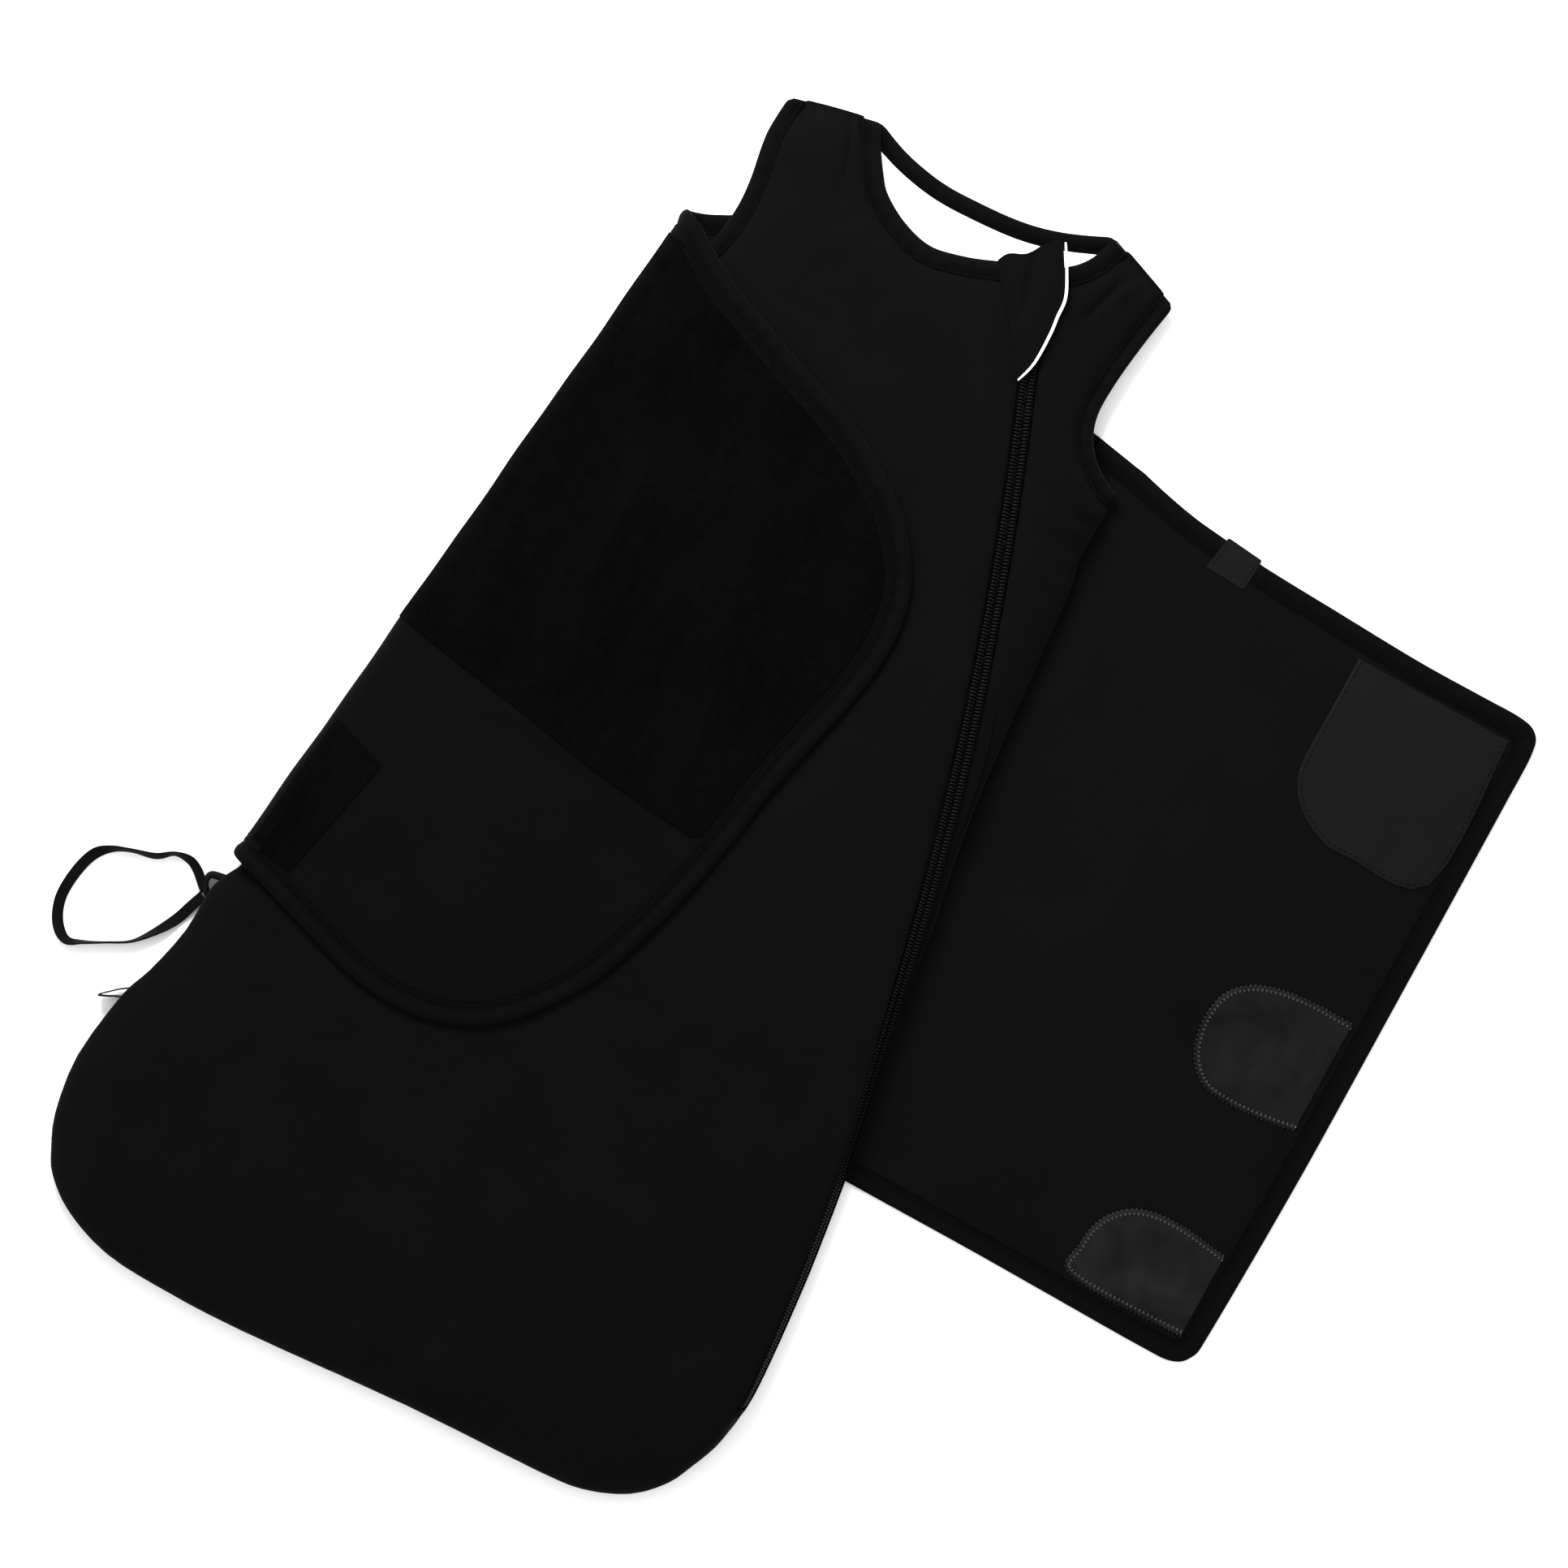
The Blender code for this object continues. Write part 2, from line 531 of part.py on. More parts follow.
pivot("zip_arc_centre", ZIP_C[0], ZIP_C[1], Z_COIL[0], [slider, pull])

guard = plate("zip_guard", GUARD, Z_GUARD, JERSEY)
guard_piping = plate("zip_guard_piping", strip(smooth(GUARD_EDGE, 2), -2.3, -GAP), (Z_GUARD[0] - 0.2, Z_GUARD[1] + 0.2), PIPING)
pivot("guard_hinge", 38.5, 227, Z_GUARD[0] - 0.3, [guard, guard_piping])

# ---------------------------------------------------------------- swaddle band
band_left = [along(*FOLD, 0.995, 1.9), along(*FOLD, 0.0, 1.9)]
band_right = [along(*HINGE, 0.0, -GAP), along(*HINGE, 0.995, -GAP)]
plate("wing_band", band_left + smooth(BAND_TOP)[1:-1] + band_right, Z_BAND, WING)

fold_strip = plate("left_wing_fold_strip", [along(*FOLD, 0, -0.8), along(*FOLD, 0, 0.8), along(*FOLD, 1, 0.8), along(*FOLD, 1, -0.8)],
                   (GAP, Z_WING_FOLDED[0] - GAP), WING)
pivot("left_fold_low_hinge", *along(*FOLD, 0.5, 0), FOLD_LOW_Z, [fold_strip])

left_edge = smooth(LEFT_WING)
left_inner = untangle(offset_open(extended(left_edge, 0, 12), LEFT_BIND + GAP), False)
left_panel = plate("left_wing_panel", clipped(left_inner, along(*FOLD, 0, -0.8), along(*FOLD, 1, -0.8)), Z_WING_FOLDED, WING)
left_binding = plate("left_wing_binding", clipped(strip(left_edge, 0, LEFT_BIND), along(*FOLD, 0, -0.8), along(*FOLD, 1, -0.8)),
                     (Z_WING_FOLDED[0], Z_WING_FOLDED[0] + BIND_T), BINDING)
border = smooth(LOOP_BORDER)
loop_edge = [p for p in untangle(offset_open(left_edge, LEFT_BIND + 1.5), False)
             if p[0] > -124 - 42 * (200 - p[1]) / 386 + 3.0 and p[1] > -68 - 0.05 * (p[0] - 25)]
Z_PATCH = (Z_WING_FOLDED[1] + GAP, Z_WING_FOLDED[1] + GAP + 0.8)
loop_large = plate("loop_patch_large", loop_edge + border + [along(*FOLD, 0.62, 3), along(*FOLD, 0.06, 3)], Z_PATCH, VELOUR)
loop_small = plate("loop_patch_small", LOOP_SMALL, Z_PATCH, VELOUR)
pivot("left_fold_top_hinge", *along(*FOLD, 0.5, 0), FOLD_TOP_Z, [left_panel, left_binding, loop_large, loop_small])

right_edge_path = smooth(RIGHT_WING)
right_inner = untangle(offset_open(right_edge_path, RIGHT_BIND + GAP), False)
right_panel = plate("right_wing_panel", clipped(right_inner, along(*HINGE, 0, GAP), along(*HINGE, 1, GAP)), Z_BAND, WING)
right_binding = plate("right_wing_binding", clipped(strip(right_edge_path, 0, RIGHT_BIND), along(*HINGE, 0, GAP), along(*HINGE, 1, GAP)),
                      (0, BIND_T), BINDING)
Z_HOOK = (Z_BAND[1] + GAP, Z_BAND[1] + GAP + 1.0)
hooks = [plate("hook_patch_large", HOOK_LARGE, Z_HOOK, HOOKS),
         plate("hook_patch_middle", HOOK_MIDDLE, Z_HOOK, HOOKS),
         plate("hook_patch_small", HOOK_SMALL, Z_HOOK, HOOKS)]
label_tab = plate("wing_label_tab", LABEL_TAB, (BIND_T + GAP, BIND_T + GAP + 0.6), LABEL)
pivot("right_wing_hinge", *along(*HINGE, 0.5, 0), HINGE_Z, [right_panel, right_binding, label_tab] + hooks)

# ------------------------------------------------------- elastic and side label
plate("elastic_anchor_tab", [(-169.9, -203), (-176, -203.5), (-176, -219.5), (-170.3, -220)], (1.9, 4.4), BINDING)
plate("care_label", [(-183.8, -271.6), (-184.2, -272.1), (-193.4, -279.6), (-193.0, -279.1)], (1.0, 15.0), LABEL)

elastic = bpy.data.curves.new("elastic_loop", "CURVE")
elastic.dimensions = "3D"
elastic.bevel_depth = ELASTIC_WIDTH / 2000
elastic.bevel_resolution = 2
elastic.use_fill_caps = True
route = smooth(ELASTIC, 1)
line = elastic.splines.new("POLY")
line.points.add(len(route) - 1)
for point, (x, y, z) in zip(line.points, route):
    point.co = (*place(x, y, z), 1)
elastic.materials.append(ELASTIC_MAT)
PART.objects.link(bpy.data.objects.new("elastic_loop", elastic))
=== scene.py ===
import math

import bmesh
import bpy
import numpy as np
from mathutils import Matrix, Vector, geometry


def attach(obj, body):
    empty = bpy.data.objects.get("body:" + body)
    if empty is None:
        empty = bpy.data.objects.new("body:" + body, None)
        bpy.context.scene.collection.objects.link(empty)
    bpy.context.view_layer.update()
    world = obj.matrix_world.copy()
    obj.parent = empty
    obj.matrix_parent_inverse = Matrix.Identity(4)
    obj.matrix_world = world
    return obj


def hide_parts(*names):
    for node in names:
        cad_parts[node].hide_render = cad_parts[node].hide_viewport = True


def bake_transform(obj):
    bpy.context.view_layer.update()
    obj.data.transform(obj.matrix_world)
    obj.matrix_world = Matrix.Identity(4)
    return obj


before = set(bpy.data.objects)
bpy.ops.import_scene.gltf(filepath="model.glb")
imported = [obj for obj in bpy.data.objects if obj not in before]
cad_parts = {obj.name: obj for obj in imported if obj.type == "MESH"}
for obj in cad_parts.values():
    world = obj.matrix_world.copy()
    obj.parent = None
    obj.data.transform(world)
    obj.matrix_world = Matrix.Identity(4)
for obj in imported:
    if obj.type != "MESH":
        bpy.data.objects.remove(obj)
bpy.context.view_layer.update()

# ------------------------------------------------------------------ dimensions
# Garment coordinates are millimetres: x across the bag, y towards the neck, z up.
SHIFT_X, SHIFT_Y = -88.9, 50.55
NECK_BIND, ARM_BIND, LEFT_BIND, RIGHT_BIND = 10.0, 8.5, 12.5, 11.5
ZIP_C, ZIP_R = (-1555.0, -455.0), 1747.5
ZIP_SLOT = 5.5
LOW_EDGE = 7.4
FOLD = ((-124.0, 200.0), (-166.0, -186.0))
HINGE = ((134.7, 196.0), (184.0, -184.0))
SEAM_Z = 6.2
FULL_Z = 18.1

CHAIN_Y = [-340, -311, -298, -287, -267, -230, -181, -150, -120, -85, -50, 0, 60, 300]
CHAIN_C = [-4.0, -3.0, -1.4, -0.9, -0.5, 0.1, 0.3, -0.4, -1.1, -0.9, -0.3, 0, 0, 0]
CHAIN_H = [0.9, 1.0, 1.4, 1.6, 1.9, 2.2, 2.3, 2.6, 2.9, 3.4, 3.8, 4.05, 4.05, 4.05]

SHOULDER_L = [(-108, 273), (-85, 279), (-62, 284)]
BACK_NECK = [(-62, 284), (-43, 277), (-22, 273), (-2, 273), (22, 275), (42, 280), (66, 290)]
SHOULDER_R = [(66, 290), (87, 282), (108, 274)]
ARMHOLE_R = [(108, 274), (104, 251), (101, 226), (101, 208), (106, 195), (116, 185), (129, 179)]
SIDE_R = [(129, 179), (127, 146), (131, 124), (136, 65), (141, 15), (145, -13)]
HEM = [(188, -334), (180, -345), (171, -356), (156, -368), (135, -377), (110, -380), (39, -383), (-50, -390),
       (-94, -391), (-127, -389), (-153, -380), (-169, -368), (-176, -357), (-183, -340), (-187, -310),
       (-182, -273), (-176, -256), (-170, -230), (-169, -205), (-162, -190)]
SIDE_L = [(-162, -190), (-157.5, -150), (-152, -100), (-141, 0), (-130, 100), (-122, 176)]
ARMHOLE_L = [(-122, 176), (-112, 184), (-106, 195), (-104, 212), (-105, 228), (-109, 252), (-108, 273)]
FRONT_NECK_L = [(-62, 284), (-57, 274), (-49, 262), (-42, 254), (-28, 246), (-12, 242), (4, 245), (21, 251), (36.5, 257.5)]
FRONT_NECK_R = [(48, 261), (56, 268), (61, 275), (64, 283), (66, 290)]
LEFT_WING = [(-122.5, 201), (-117, 197), (-90, 180), (-63, 169), (-32, 157), (-2, 146), (24, 131), (40, 119),
             (53, 104), (62, 88), (67, 64), (65, 35), (57, 0), (50, -31), (45, -63), (37, -100), (29, -127),
             (18, -156), (0, -182), (-18, -199), (-40, -209), (-65, -212), (-90, -209), (-123, -199),
             (-151, -190), (-165, -186)]
LOOP_BORDER = [(25, -70), (-28, -65), (-73, -57), (-131, -48), (-147, -44)]
LOOP_SMALL = [(-153, -102), (-123, -112), (-139, -173), (-160, -170)]
RIGHT_WING = [(133, 196.5), (151, 192), (169, 188.5), (187, 186.5), (209, 184), (252, 182), (299, 180), (335, 180),
              (356, 180), (366, 177), (370, 167), (370.5, 134), (371, 7), (371, -75), (369, -160), (367, -175),
              (359, -182), (340, -183), (293, -182.5), (247, -182), (202, -182), (180, -182)]
BAND_TOP = [(-122, 200), (-104, 212), (-60, 214), (0, 212), (60, 208), (105, 201), (134, 196)]
HOOK_LARGE = [(272, 167), (272, 145), (272, 112), (275, 98), (284, 87), (299, 79), (314, 78), (357, 86), (357, 167)]
HOOK_MIDDLE = [(357, 7), (335, 7), (318, 5), (304, 0), (294, -10), (291, -26), (295, -43), (305, -54), (318, -57),
               (338, -56), (357, -53)]
HOOK_SMALL = [(357, -124), (333, -121), (315, -122), (303, -127), (294, -138), (291, -154), (295, -169), (357, -169)]
LABEL_TAB = [(184, 170), (187, 188), (207, 186), (206, 169)]
GUARD = [(56, 203), (21, 251), (24, 256), (32, 260), (37, 268), (41, 273), (45, 273.5), (52, 262), (58, 250), (59, 240),
         (60, 231), (60, 215)]
GUARD_EDGE = [(45, 273.5), (52, 262), (58, 250), (59, 240), (60, 231), (60, 215), (57, 204)]
ELASTIC = [(-177.2, -206.5, 3.15), (-183, -205, 3.0), (-189, -202.5, 2.9), (-196, -202.5, 2.9), (-203, -207, 2.9),
           (-212, -209, 2.9), (-222, -213, 2.9), (-229, -222, 2.9), (-233, -234, 2.9), (-233, -247, 2.9),
           (-229, -257, 2.9), (-222, -262.5, 2.9), (-214, -261.5, 2.9), (-202, -255, 2.9), (-191, -247, 2.9),
           (-187, -235, 2.9), (-185.5, -224, 3.0), (-182.5, -217.8, 3.1), (-177.2, -216.2, 3.15)]


# --------------------------------------------------------------- plane geometry
def smooth(points, per=3):
    """An open Catmull-Rom curve through the points."""
    p = np.asarray(points, float)
    ext = np.vstack([p[:1], p, p[-1:]])
    out = []
    for i in range(len(p) - 1):
        a, b, c, d = ext[i:i + 4]
        for k in range(per):
            t = k / per
            out.append(0.5 * (2 * b + (c - a) * t + (2 * a - 5 * b + 4 * c - d) * t * t + (3 * b - a - 3 * c + d) * t ** 3))
    out.append(p[-1])
    return np.array(out)


def zip_point(y, off=0.0):
    a = math.asin((y - ZIP_C[1]) / ZIP_R)
    return (ZIP_C[0] + (ZIP_R + off) * math.cos(a), ZIP_C[1] + (ZIP_R + off) * math.sin(a))


def zip_line(off, y0, y1, count=30):
    return np.array([zip_point(y0 + (y1 - y0) * i / (count - 1), off) for i in range(count)])


def chain(y):
    """The zip chain at a height y: its centre's offset, its half width from above, and its tilt."""
    c, h = np.interp(y, CHAIN_Y, CHAIN_C), np.interp(y, CHAIN_Y, CHAIN_H)
    return c, h, np.arccos(np.clip(h / 4.05, 0.2, 1.0))


def chain_line(gap, y0, y1, count=60):
    """A line beside the chain: gap to the right of its right side, or a negative gap to the left of its left side."""
    out = []
    for y in np.linspace(y0, y1, count):
        c, h, _ = chain(y)
        low = float(ease((-y - 60) / 90))
        out.append(zip_point(y, c + (h + gap if gap > 0 else -h + gap + (0.9 * h / 2.2 - gap * 0.2) * low)))
    return np.array(out)


def resample(path, step, closed=False):
    """Evenly spaced points along a line, its first and last point kept."""
    p = np.asarray(path, float)
    if closed:
        p = np.vstack([p, p[:1]])
    seg = np.linalg.norm(np.diff(p, axis=0), axis=1)
    keep = np.concatenate([[True], seg > 1e-9])
    p, seg = p[keep], seg[seg > 1e-9]
    cum = np.concatenate([[0], np.cumsum(seg)])
    n = max(int(round(cum[-1] / step)), 2)
    at = np.linspace(0, cum[-1], n + 1)
    if closed:
        at = at[:-1]
    return np.stack([np.interp(at, cum, p[:, k]) for k in range(p.shape[1])], 1)


def length_of(path):
    return float(np.linalg.norm(np.diff(np.asarray(path, float), axis=0), axis=1).sum())


def offset(path, d):
    """The line moved d to its right, with the loops at tight inner corners folded onto the corner's middle."""
    p = np.asarray(path, float)[:, :2]
    tan = np.gradient(p, axis=0)
    tan /= np.maximum(np.linalg.norm(tan, axis=1), 1e-9)[:, None]
    out = p + np.stack([tan[:, 1], -tan[:, 0]], 1) * d
    if abs(d) > 0.5:
        dist, _ = line_dist(out[:, 0], out[:, 1], p)
        bad = dist < abs(d) * 0.985 - 0.02
        if bad.any() and not bad.all():
            good = np.flatnonzero(~bad)
            idx = np.arange(len(p))
            out = np.stack([np.interp(idx, good, out[good, k]) for k in (0, 1)], 1)
    return out


def line_dist(px, py, path, closed=False):
    """Distance of each point to a line, and how far along the line the nearest place is."""
    p = np.asarray(path, float)[:, :2]
    q = np.vstack([p, p[:1]]) if closed else p
    best = np.full(np.shape(px), 1e9)
    along = np.zeros(np.shape(px))
    s = 0.0
    for (ax, ay), (bx, by) in zip(q[:-1], q[1:]):
        dx, dy = bx - ax, by - ay
        size = dx * dx + dy * dy
        if size < 1e-12:
            continue
        t = np.clip(((px - ax) * dx + (py - ay) * dy) / size, 0, 1)
        d = np.hypot(px - ax - t * dx, py - ay - t * dy)
        near = d < best
        best = np.where(near, d, best)
        along = np.where(near, s + t * math.sqrt(size), along)
        s += math.sqrt(size)
    return best, along


def inside(px, py, poly):
    p = np.asarray(poly, float)
    hit = np.zeros(np.shape(px), bool)
    for (ax, ay), (bx, by) in zip(p, np.roll(p, -1, 0)):
        if ay == by:
            continue
        cross = ((ay > py) != (by > py)) & (px < (bx - ax) * (py - ay) / (by - ay) + ax)
        hit ^= cross
    return hit


def area_of(poly):
    p = np.asarray(poly, float)
    q = np.roll(p, -1, 0)
    return abs(float((p[:, 0] * q[:, 1] - q[:, 0] * p[:, 1]).sum())) / 2


def clipped(points, p, q):
    """The part of an outline to the left of the line from p to q."""
    pts = [tuple(v) for v in np.asarray(points, float)]

    def side(v):
        return (q[0] - p[0]) * (v[1] - p[1]) - (q[1] - p[1]) * (v[0] - p[0])
    out = []
    for i, b in enumerate(pts):
        a = pts[i - 1]
        sa, sb = side(a), side(b)
        if (sa > 0) != (sb > 0):
            t = sa / (sa - sb)
            out.append((a[0] + (b[0] - a[0]) * t, a[1] + (b[1] - a[1]) * t))
        if sb > 0:
            out.append(b)
    return np.array(out)


def on_line(line, u, v):
    """A share u along a two-point line, v to its left."""
    (ax, ay), (bx, by) = line
    dx, dy = bx - ax, by - ay
    size = math.hypot(dx, dy)
    return (ax + dx * u - dy / size * v, ay + dy * u + dx / size * v)


def off_line(x, y, line):
    """How far points lie to the left of a two-point line, and their share along it."""
    (ax, ay), (bx, by) = line
    dx, dy = bx - ax, by - ay
    size = math.hypot(dx, dy)
    return ((y - ay) * dx - (x - ax) * dy) / size, ((x - ax) * dx + (y - ay) * dy) / size / size


def ease(t):
    t = np.clip(t, 0, 1)
    return t * t * (3 - 2 * t)


def waves(x, y, seed, size):
    """Smooth seeded unevenness from -1 to 1, about size mm from crest to crest."""
    rng = np.random.default_rng(seed)
    total = np.zeros(np.shape(x))
    weight = 0.0
    for k in range(7):
        a, f, ph = rng.uniform(0, math.tau), rng.uniform(0.6, 1.7), rng.uniform(0, math.tau, 3)
        u = (np.cos(a) * x + np.sin(a) * y) / size * math.tau * f
        v = (-np.sin(a) * x + np.cos(a) * y) / size * math.tau * f
        w = 1 / f
        total = total + w * np.sin(u + ph[0] + 0.9 * np.sin(v * 0.43 + ph[1]))
        weight += w
    return total / weight * 1.7


def ridge(x, y, path, high, wide, even=False):
    """A crease along a line, fading out at its ends."""
    p = smooth(path, 5)
    d, s = line_dist(x, y, p)
    share = np.clip(s / max(length_of(p), 1e-6), 0, 1)
    fade = 1.0 if even else np.sin(np.pi * share) ** 0.6
    return high * fade * np.exp(-(d / wide) ** 2)


# --------------------------------------------------------------------- meshes
def row(v):
    v = np.asarray(v, float)
    return np.stack([(v[:, 0] + SHIFT_X) / 1000, (v[:, 1] + SHIFT_Y) / 1000, v[:, 2] / 1000], 1)


def build(name, verts, faces, uv, mats, sharp=50, face_mat=None):
    """A mesh object from points in garment millimetres, with a UV map in tenths of a metre of cloth."""
    me = bpy.data.meshes.new(name)
    me.from_pydata(row(verts).tolist(), [], [tuple(int(i) for i in f) for f in faces])
    me.update()
    layer = me.uv_layers.new(name="cloth")
    corners = np.zeros(len(me.loops), np.int32)
    me.loops.foreach_get("vertex_index", corners)
    layer.uv.foreach_set("vector", (np.asarray(uv, float)[corners] / 100).astype(np.float32).ravel())
    for m in (mats if isinstance(mats, (list, tuple)) else [mats]):
        me.materials.append(m)
    if face_mat is not None:
        me.polygons.foreach_set("material_index", np.asarray(face_mat, np.int32))
    me.shade_smooth()
    if sharp:
        me.set_sharp_from_angle(angle=math.radians(sharp))
    obj = bpy.data.objects.new(name, me)
    bpy.context.scene.collection.objects.link(obj)
    return obj


def triangulate(outline, step, rows=(), edge_step=2.6, extra=()):
    """Points and triangles that fill an outline, finer near its edge."""
    ring = resample(outline, edge_step, closed=True)
    signed = float((ring[:, 0] * np.roll(ring[:, 1], -1) - np.roll(ring[:, 0], -1) * ring[:, 1]).sum())
    if signed < 0:
        ring = ring[::-1]
    pts = [ring]
    reach = 0.0
    for r in rows:
        tan = np.roll(ring, -1, 0) - np.roll(ring, 1, 0)
        tan /= np.maximum(np.linalg.norm(tan, axis=1), 1e-9)[:, None]
        cand = ring + np.stack([-tan[:, 1], tan[:, 0]], 1) * r
        d, _ = line_dist(cand[:, 0], cand[:, 1], ring, closed=True)
        ok = (d > 0.94 * r) & inside(cand[:, 0], cand[:, 1], ring)
        pts.append(cand[ok])
        reach = max(reach, r)
    lo, hi = ring.min(0), ring.max(0)
    nx, ny = int((hi[0] - lo[0]) / step) + 2, int((hi[1] - lo[1]) / (step * 0.866)) + 2
    gy, gx = np.mgrid[0:ny, 0:nx]
    gx = lo[0] + (gx + 0.5 * (gy % 2)) * step + 0.137
    gy = lo[1] + gy * step * 0.866 + 0.071
    gx, gy = gx.ravel(), gy.ravel()
    keep = inside(gx, gy, ring)
    gx, gy = gx[keep], gy[keep]
    d, _ = line_dist(gx, gy, ring, closed=True)
    keep = d > reach + 0.62 * step
    inner = np.stack([gx[keep], gy[keep]], 1)
    for e in extra:
        e = np.asarray(e, float)
        d, _ = line_dist(e[:, 0], e[:, 1], ring, closed=True)
        e = e[(d > 0.8) & inside(e[:, 0], e[:, 1], ring)]
        if len(e) and len(inner):
            far = np.ones(len(inner), bool)
            for q in e:
                far &= (np.abs(inner[:, 0] - q[0]) > 0.55 * step) | (np.abs(inner[:, 1] - q[1]) > 0.55 * step)
            inner = inner[far]
        pts.append(e)
    pts.append(inner)
    all_pts = np.vstack(pts)
    n = len(ring)
    res = geometry.delaunay_2d_cdt([Vector(p) for p in all_pts.tolist()], [(i, (i + 1) % n) for i in range(n)], [], 0, 1e-5)
    xy = np.array([tuple(v) for v in res[0]])
    tri = np.array([f for f in res[2] if len(f) == 3], int)
    mid = xy[tri].mean(1)
    tri = tri[inside(mid[:, 0], mid[:, 1], ring)]
    a, b, c = xy[tri[:, 0]], xy[tri[:, 1]], xy[tri[:, 2]]
    turn = (b[:, 0] - a[:, 0]) * (c[:, 1] - a[:, 1]) - (b[:, 1] - a[:, 1]) * (c[:, 0] - a[:, 0])
    tri[turn < 0] = tri[turn < 0][:, ::-1]
    return xy, tri


def boundary_edges(tri):
    e = np.concatenate([tri[:, [0, 1]], tri[:, [1, 2]], tri[:, [2, 0]]])
    key = np.sort(e, axis=1)
    _, idx, count = np.unique(key, axis=0, return_index=True, return_counts=True)
    return e[idx[count == 1]]


def normals_of(v, tri):
    n = np.cross(v[tri[:, 1]] - v[tri[:, 0]], v[tri[:, 2]] - v[tri[:, 0]])
    out = np.zeros_like(v)
    for k in range(3):
        np.add.at(out, tri[:, k], n)
    return out / np.maximum(np.linalg.norm(out, axis=1), 1e-12)[:, None]


def cloth(name, outline, top, thick, mats, step=4.0, rows=(0.8, 2.2), edge_step=2.6, low=None, extra=(), sharp=50, swap=None):
    """A cloth sheet: its upper face follows top(x, y), its lower face lies thick below it, or follows low(x, y)."""
    xy, tri = triangulate(outline, step, rows, edge_step, extra)
    z = np.asarray(top(xy[:, 0], xy[:, 1]), float) * np.ones(len(xy))
    up = np.column_stack([xy, z])
    if low is None:
        nrm = normals_of(up, tri)
        t = thick(xy[:, 0], xy[:, 1]) if callable(thick) else thick
        down = up - nrm * np.reshape(t, (-1, 1)) * np.array([0.6, 0.6, 1.0])
    else:
        down = np.column_stack([xy, np.asarray(low(xy[:, 0], xy[:, 1]), float) * np.ones(len(xy))])
    n = len(xy)
    rim = boundary_edges(tri)
    faces = [tuple(f) for f in tri] + [tuple(f) for f in tri[:, ::-1] + n]
    faces += [(b, a, a + n, b + n) for a, b in rim]
    uv = np.vstack([xy, xy])
    obj = build(name, np.vstack([up, down]), faces, uv, mats, sharp)
    if swap is not None:
        swap(obj)
    return obj


def sweep(name, path, zs, section, mats, sharp=60, caps=True, closed=False, ends=(None, None), reach=11.0, soft=(0, 0),
          pucker=0.0, seed=1):
    """A band along a line: section is a loop of (right of the line, above zs) pairs, or a function of the point's number.
    ends turns the band's two ends to run along a seam, and soft rounds them off."""
    p = np.asarray(path, float)
    n = len(p)
    first = np.asarray(section(0) if callable(section) else section, float)
    m = len(first)
    s = np.concatenate([[0], np.cumsum(np.linalg.norm(np.diff(p, axis=0), axis=1))])
    total = s[-1]
    weight = [ease(1 - s / reach) if ends[0] is not None else np.zeros(n),
              ease(1 - (total - s) / reach) if ends[1] is not None else np.zeros(n)]
    round_off = np.ones(n)
    for size, e in ((soft[0], s), (soft[1], total - s)):
        if size:
            round_off = np.minimum(round_off, np.sqrt(np.clip(1 - (1 - np.minimum(e, size) / size) ** 2, 0, 1)))
    rng = np.random.default_rng(seed)
    ph = rng.uniform(0, math.tau, 4)
    wob = np.sin(s / 6.3 * math.tau / 1.3 + ph[0] + 2 * np.sin(s / 19 + ph[1])) * (0.55 + 0.45 * np.sin(s / 23 + ph[2]))
    offsets = {}
    rings = np.zeros((n, m, 3))
    for k in range(m):
        if callable(section):
            a = np.array([section(i)[k][0] for i in range(n)])
            b = np.array([section(i)[k][1] for i in range(n)])
            tan = np.gradient(p, axis=0)
            tan /= np.maximum(np.linalg.norm(tan, axis=1), 1e-9)[:, None]
            xy = p + np.stack([tan[:, 1], -tan[:, 0]], 1) * a[:, None]
        else:
            a, b = first[k]
            if a not in offsets:
                xy = offset(p, a)
                for w, d in zip(weight, ends):
                    if d is not None:
                        xy = xy * (1 - w[:, None]) + (p + a * np.asarray(d, float)) * w[:, None]
                offsets[a] = xy
            xy = offsets[a]
            if (soft[0] or soft[1]) and a < 3.2:
                if 3.2 not in offsets:
                    inner = offset(p, 3.2)
                    for w, d in zip(weight, ends):
                        if d is not None:
                            inner = inner * (1 - w[:, None]) + (p + 3.2 * np.asarray(d, float)) * w[:, None]
                    offsets[3.2] = inner
                bend_in = np.zeros(n)
                for size, e in ((soft[0], s), (soft[1], total - s)):
                    if size:
                        bend_in = np.maximum(bend_in, 1 - np.sqrt(np.clip(1 - (1 - np.minimum(e, 3.4) / 3.4) ** 2, 0, 1)))
                f = (bend_in * (1 - a / 3.2) * 0.9)[:, None]
                xy = xy * (1 - f) + offsets[3.2] * f
        z = zs(xy[:, 0], xy[:, 1]) if callable(zs) else np.asarray(zs, float)
        rings[:, k, :2] = xy
        rings[:, k, 2] = z + b * round_off + (pucker * wob * min(1.0, abs(a) / 2.0) if pucker and np.ndim(a) == 0 and b > 0 else 0)
    verts = rings.reshape(-1, 3)
    around = np.concatenate([[0], np.cumsum(np.linalg.norm(np.diff(first, axis=0), axis=1))])
    uv = np.stack([np.repeat(s, m), np.tile(around, n)], 1)
    faces = []
    for i in range(n - 1 + (1 if closed else 0)):
        j = (i + 1) % n
        for k in range(m):
            q = (k + 1) % m
            faces.append((i * m + k, j * m + k, j * m + q, i * m + q))
    if caps and not closed:
        faces.append(tuple(range(m)))
        faces.append(tuple((n - 1) * m + k for k in range(m))[::-1])
    obj = build(name, verts, faces, uv, mats, sharp)
    fix_normals(obj)
    return obj


